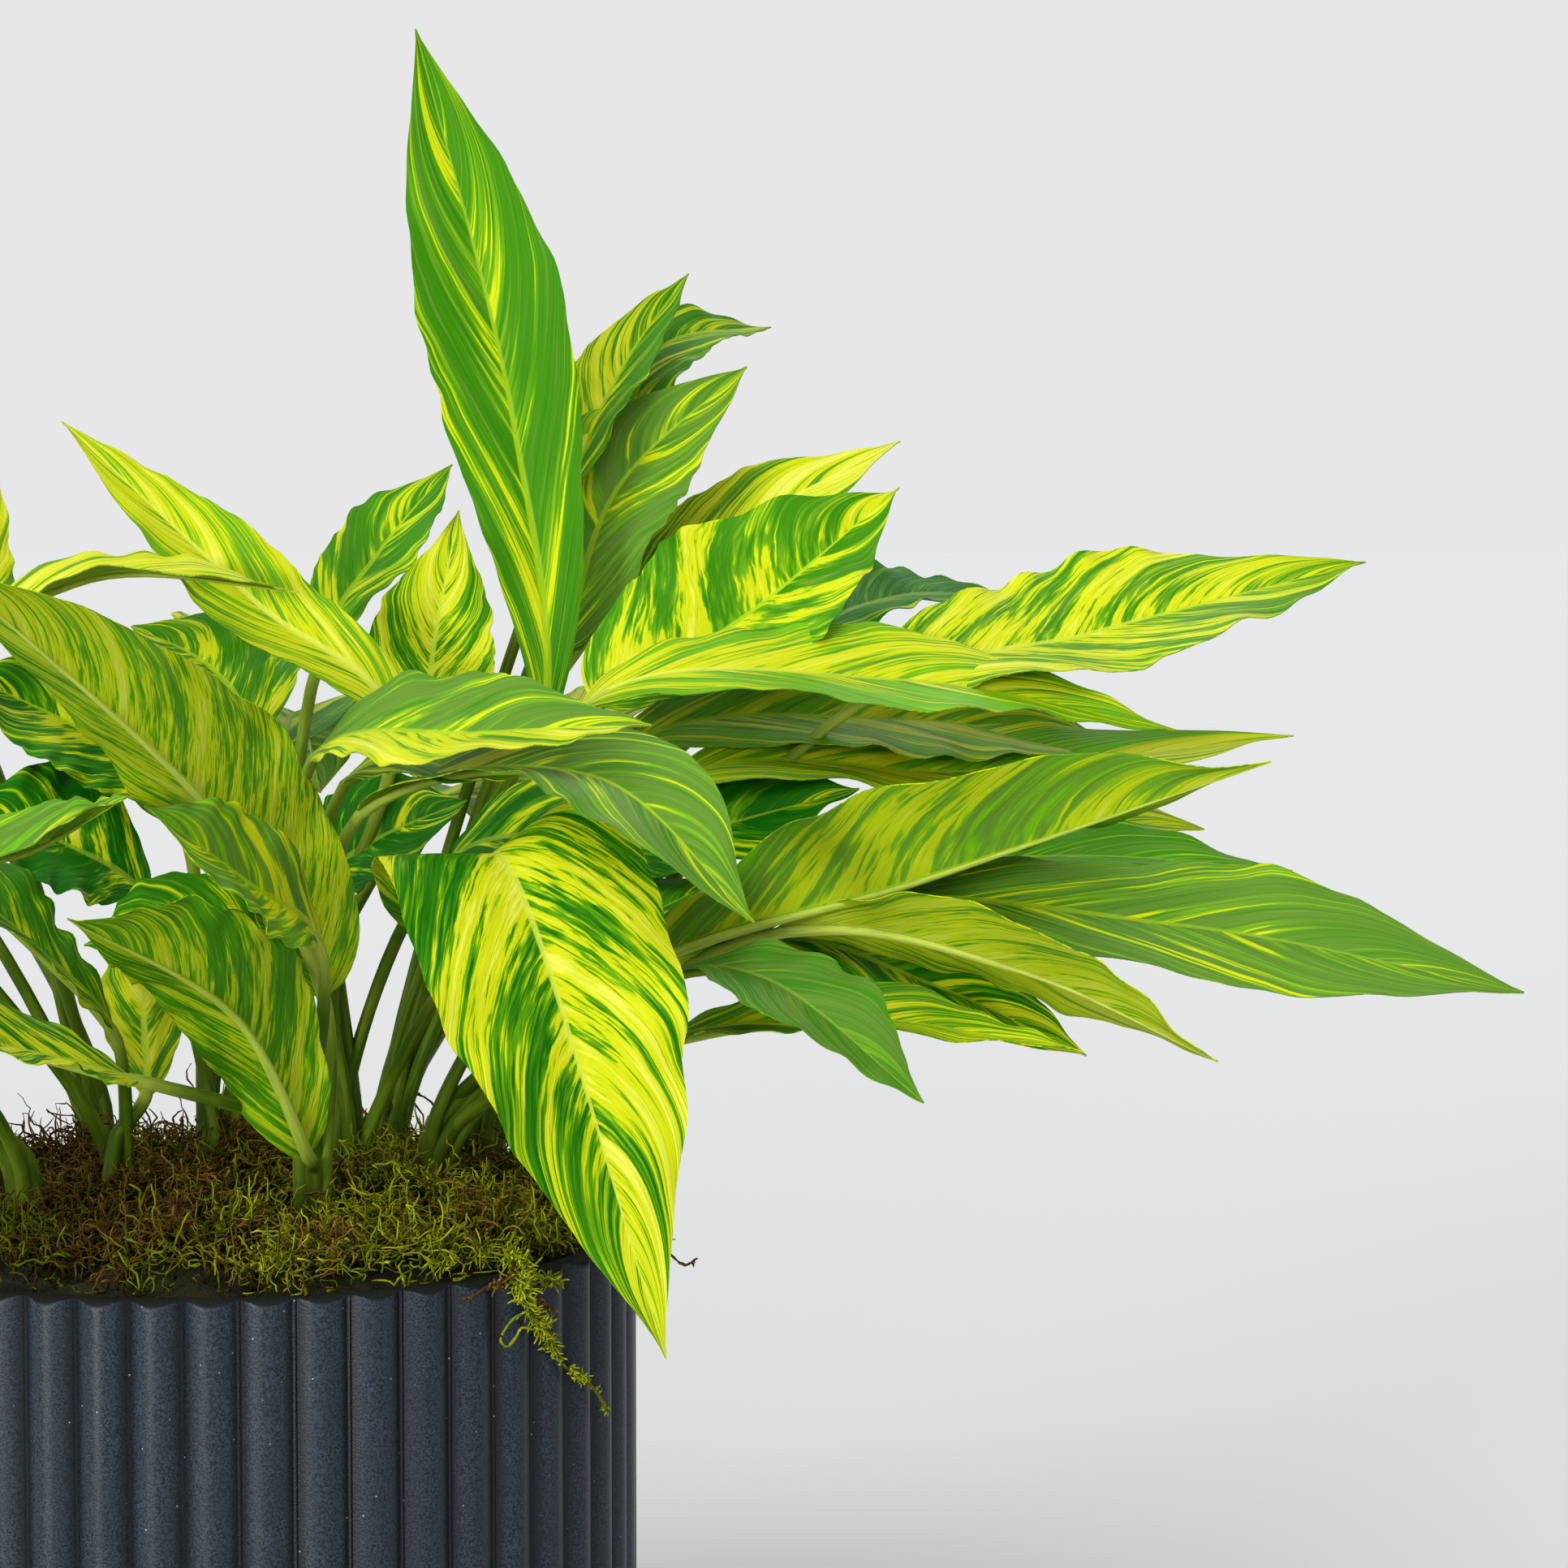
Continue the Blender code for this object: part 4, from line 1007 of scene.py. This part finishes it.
# Places of the small tufts in mm, then of the twiggy tufts and how far each spreads, in metres
DRY_TUFTS = [(-33, -62), (-60, -70), (-20, -92), (-85, -40), (-48, -100), (-66, 20), (-10, -40), (30, -112),
             (102, 40), (88, -85), (-100, 0), (-20, 60), (20, 120), (-80, 80), (110, -40), (0, 10)]
FRESH_TUFTS = [(-1, -92), (-72, -100), (16, -124), (58, -70), (82, -20), (42, -96), (92, -60), (56, -28),
               (118, -10), (30, 50), (60, 110), (-40, 110), (-110, 50), (72, 40), (104, -80), (70, -112),
               (-90, -85)]
TWIG_SPOTS = [((-0.052, 0.026), 0.014), ((-0.095, 0.045), 0.012), ((0.102, 0.012), 0.008),
              ((0.012, 0.062), 0.012), ((0.060, 0.100), 0.014), ((-0.110, -0.030), 0.012)]

# Dark, light and tip colour of each moss
MOSS_TONES = {
    "olive_moss": ((0.022, 0.023, 0.001), (0.215, 0.200, 0.008), (0.400, 0.370, 0.014)),
    "dry_moss": ((0.022, 0.011, 0.002), (0.205, 0.112, 0.018), (0.340, 0.215, 0.045)),
    "fresh_moss": ((0.045, 0.060, 0.001), (0.275, 0.310, 0.007), (0.460, 0.490, 0.014)),
    "bright_moss": ((0.080, 0.110, 0.001), (0.380, 0.440, 0.008), (0.560, 0.620, 0.020)),
}
TWIG_RADII = (0.00035, 0.00060)
THREAD_STEPS = 40


def add_fronds(bright, dry, olive):
    """What hangs over the rim: bunched leaflets first, then the threads that carry them."""
    draw = np.random.default_rng(37)
    for name, route, count, reach, bunches, thick, material in (
            ("hanging_frond", HANGING_FROND, 430, (0.0035, 0.0090), 24, (0.00030, 0.00050), bright),
            ("rim_tuft", RIM_TUFT, 230, (0.006, 0.014), 12, (0.00030, 0.00052), bright),
            ("tan_sprig_twigs", TAN_SPRIG, 34, (0.003, 0.009), 8, TWIG_RADII, dry),
            ("tan_hook_twigs", TAN_HOOK, 26, (0.003, 0.008), 6, TWIG_RADII, dry)):
        leaflets = frond_lines(route, count, draw, reach, bunches)
        strands(name, leaflets, strand_radii(len(leaflets), 5, draw, thick), draw, material, hanging=True)
    for name, route, thick, material in (
            ("frond_thread", HANGING_FROND, 0.00075, olive), ("curl_thread", CURL_LOOP, 0.00055, bright),
            ("tan_sprig", TAN_SPRIG, 0.00070, dry), ("tan_hook", TAN_HOOK, 0.00060, dry),
            ("rim_curl", RIM_CURL, 0.00055, dry)):
        line = resampled(line_along(route, 10), np.linspace(0, 1, THREAD_STEPS))[None]
        radii = np.full((1, THREAD_STEPS), thick) * draw.uniform(0.7, 1.3, (1, THREAD_STEPS))
        strands(name, line, radii, draw, material, hanging=True)
    draw = np.random.default_rng(41)
    twigs = frond_lines(RIM_CURL[2:], 9, draw, (0.004, 0.008), 4)
    strands("rim_curl_twigs", twigs, strand_radii(len(twigs), 5, draw, TWIG_RADII), draw, dry, hanging=True)


def make_moss(tones, grain_group):
    bed = make_moss_bed()
    bed.data.materials.clear()
    bed.data.materials.append(make_bed_material(grain_group))
    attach(bed, "root")
    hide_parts("moss")
    thin = 1.0
    olive, dry, fresh, bright = (make_moss_material(name, tones, *tone) for name, tone in MOSS_TONES.items())
    for name, count, seed, material, weight in (("olive_strands", 9600, 21, olive, 0.15),
                                                ("dry_strands", 9200, 22, dry, -1.0),
                                                ("fresh_strands", 9200, 23, fresh, 1.0)):
        draw = np.random.default_rng(seed)
        lines = curled_lines(int(count * thin), draw)
        radii = strand_radii(len(lines), lines.shape[1], draw)
        x, y = lines[:, 0, 0], lines[:, 0, 1]
        tufted = (0.62 + 0.45 * np.sin(x * 211 + 3 * weight) * np.sin(y * 197)
                  + 0.35 * np.sin(x * 97 - y * 143))
        chance = (0.55 if abs(weight) < 0.5 else 0.44 + 0.44 * weight * drifts(x, y)) * tufted
        lines, radii = keep_where(lines, radii, chance, draw)
        strands(name, lines, radii, draw, material)
    draw = np.random.default_rng(29)
    for name, spots, material in (("dry_tufts", DRY_TUFTS, dry), ("fresh_tufts", FRESH_TUFTS, fresh)):
        lines = np.concatenate([
            curled_lines(int(70 * thin) + 8, draw, 8, (0.010, 0.022), (0.002, 0.011), 0.75,
                         (0.3, 1.5), (x * MM, y * MM), 0.0065) for x, y in spots])
        strands(name, lines, strand_radii(len(lines), 8, draw, (0.00026, 0.00048)), draw, material)
    draw = np.random.default_rng(31)
    twigs = np.concatenate([curled_lines(44, draw, 12, (0.028, 0.052), (0.0, 0.010), 0.42, (0.7, 1.5),
                                         centre, spread) for centre, spread in TWIG_SPOTS])
    strands("twiggy_strands", twigs, strand_radii(len(twigs), 12, draw, (0.00030, 0.00055)), draw, dry)
    add_fronds(bright, dry, olive)


# Studio

NEAR_FLOOR = (0.632, 0.632, 0.632)
FAR_FLOOR = (0.680, 0.679, 0.686)
BACKDROP_TONE = (0.80, 0.80, 0.81)

# The camera as fitted to the photo: its place, how many degrees it looks down and right, its lens
CAMERA_PLACE = (0, -1.561, 0.5234)
CAMERA_DOWN = 3.52
CAMERA_RIGHT = 7.58
CAMERA_LENS = 95.03


def make_floor():
    """A wide pale floor that runs out of sight."""
    deselect_all()
    bpy.ops.mesh.primitive_circle_add(vertices=96, radius=90, fill_type="NGON", location=(0, 0, 0))
    floor = bpy.context.object
    floor.name = floor.data.name = "pale_floor"
    edit_whole()
    extrude_up(-0.02)
    end_edit()
    material, tree = new_material("pale_paper", 1.0, 0.0)
    place = put(tree, "ShaderNodeTexCoord").outputs["Object"]
    away = put(tree, "ShaderNodeVectorMath", {0: place}, operation="LENGTH").outputs["Value"]
    away = plus(tree, away, times(tree, noise(tree, place, 1.3), 0.8))
    colour = blend(tree, ramp(tree, away, 0.6, 4.5), NEAR_FLOOR, FAR_FLOOR)
    floor.data.materials.append(dress(material, colour))


def add_light(name, azimuth, elevation, spread, strength, colour):
    """A broad far lamp: azimuth in degrees from the front round to the right."""
    bpy.ops.object.light_add(type="SUN", location=(0, 0, 3), rotation=(
        math.radians(90 - elevation), 0, math.radians(azimuth)))
    light = bpy.context.object
    light.name = name
    light.data.angle = math.radians(spread)
    light.data.energy = strength
    light.data.color = colour


def make_studio():
    make_floor()
    world = bpy.data.worlds.new("soft_daylight")
    bpy.context.scene.world = world
    world.use_nodes = True
    tree = world.node_tree
    way = put(tree, "ShaderNodeTexCoord").outputs["Generated"]
    side = put(tree, "ShaderNodeVectorMath", {0: way, 1: (-0.66, -0.30, 0.69)},
               operation="DOT_PRODUCT").outputs["Value"]
    sky = tree.nodes["Background"]
    sky.inputs["Color"].default_value = (0.97, 0.99, 1.0, 1)
    tree.links.new(ramp(tree, side, -0.45, 0.95, 0.18, 1.05), sky.inputs["Strength"])
    backdrop = put(tree, "ShaderNodeBackground", {"Color": (*BACKDROP_TONE, 1), "Strength": 1.0})
    seen = put(tree, "ShaderNodeLightPath").outputs["Is Camera Ray"]
    both = put(tree, "ShaderNodeMixShader", {0: seen, 1: sky.outputs[0], 2: backdrop.outputs[0]})
    tree.links.new(both.outputs[0], tree.nodes["World Output"].inputs["Surface"])
    add_light("window_light", -40, 5, 16, 2.00, (1.0, 1.0, 0.98))
    add_light("roof_light", -25, 56, 40, 1.05, (1.0, 0.99, 0.95))
    add_light("front_light", 6, 6, 40, 0.35, (1.0, 1.0, 0.98))
    add_light("back_light", 160, 42, 30, 0.40, (1.0, 1.0, 1.0))
    scene = bpy.context.scene
    scene.view_settings.view_transform = "Standard"
    bpy.ops.object.camera_add(location=CAMERA_PLACE, rotation=(
        math.radians(90 - CAMERA_DOWN), 0, math.radians(-CAMERA_RIGHT)))
    camera = bpy.context.object
    camera.data.sensor_width = 36
    camera.data.lens = CAMERA_LENS
    scene.camera = camera


def main():
    streaks = make_vein_streaks()
    grain = make_fine_grain()
    leaf_materials = [make_blade_material(streaks), make_stalk_material(streaks)]
    for name in STEMS:
        grow_stem(name, leaf_materials)
    pot = make_pot()
    pot.data.materials.append(make_glaze(grain))
    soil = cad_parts["soil"]
    soil.data.materials.clear()
    soil.data.materials.append(make_soil_material(grain))
    make_moss(make_moss_tones(), grain)
    make_studio()


main()
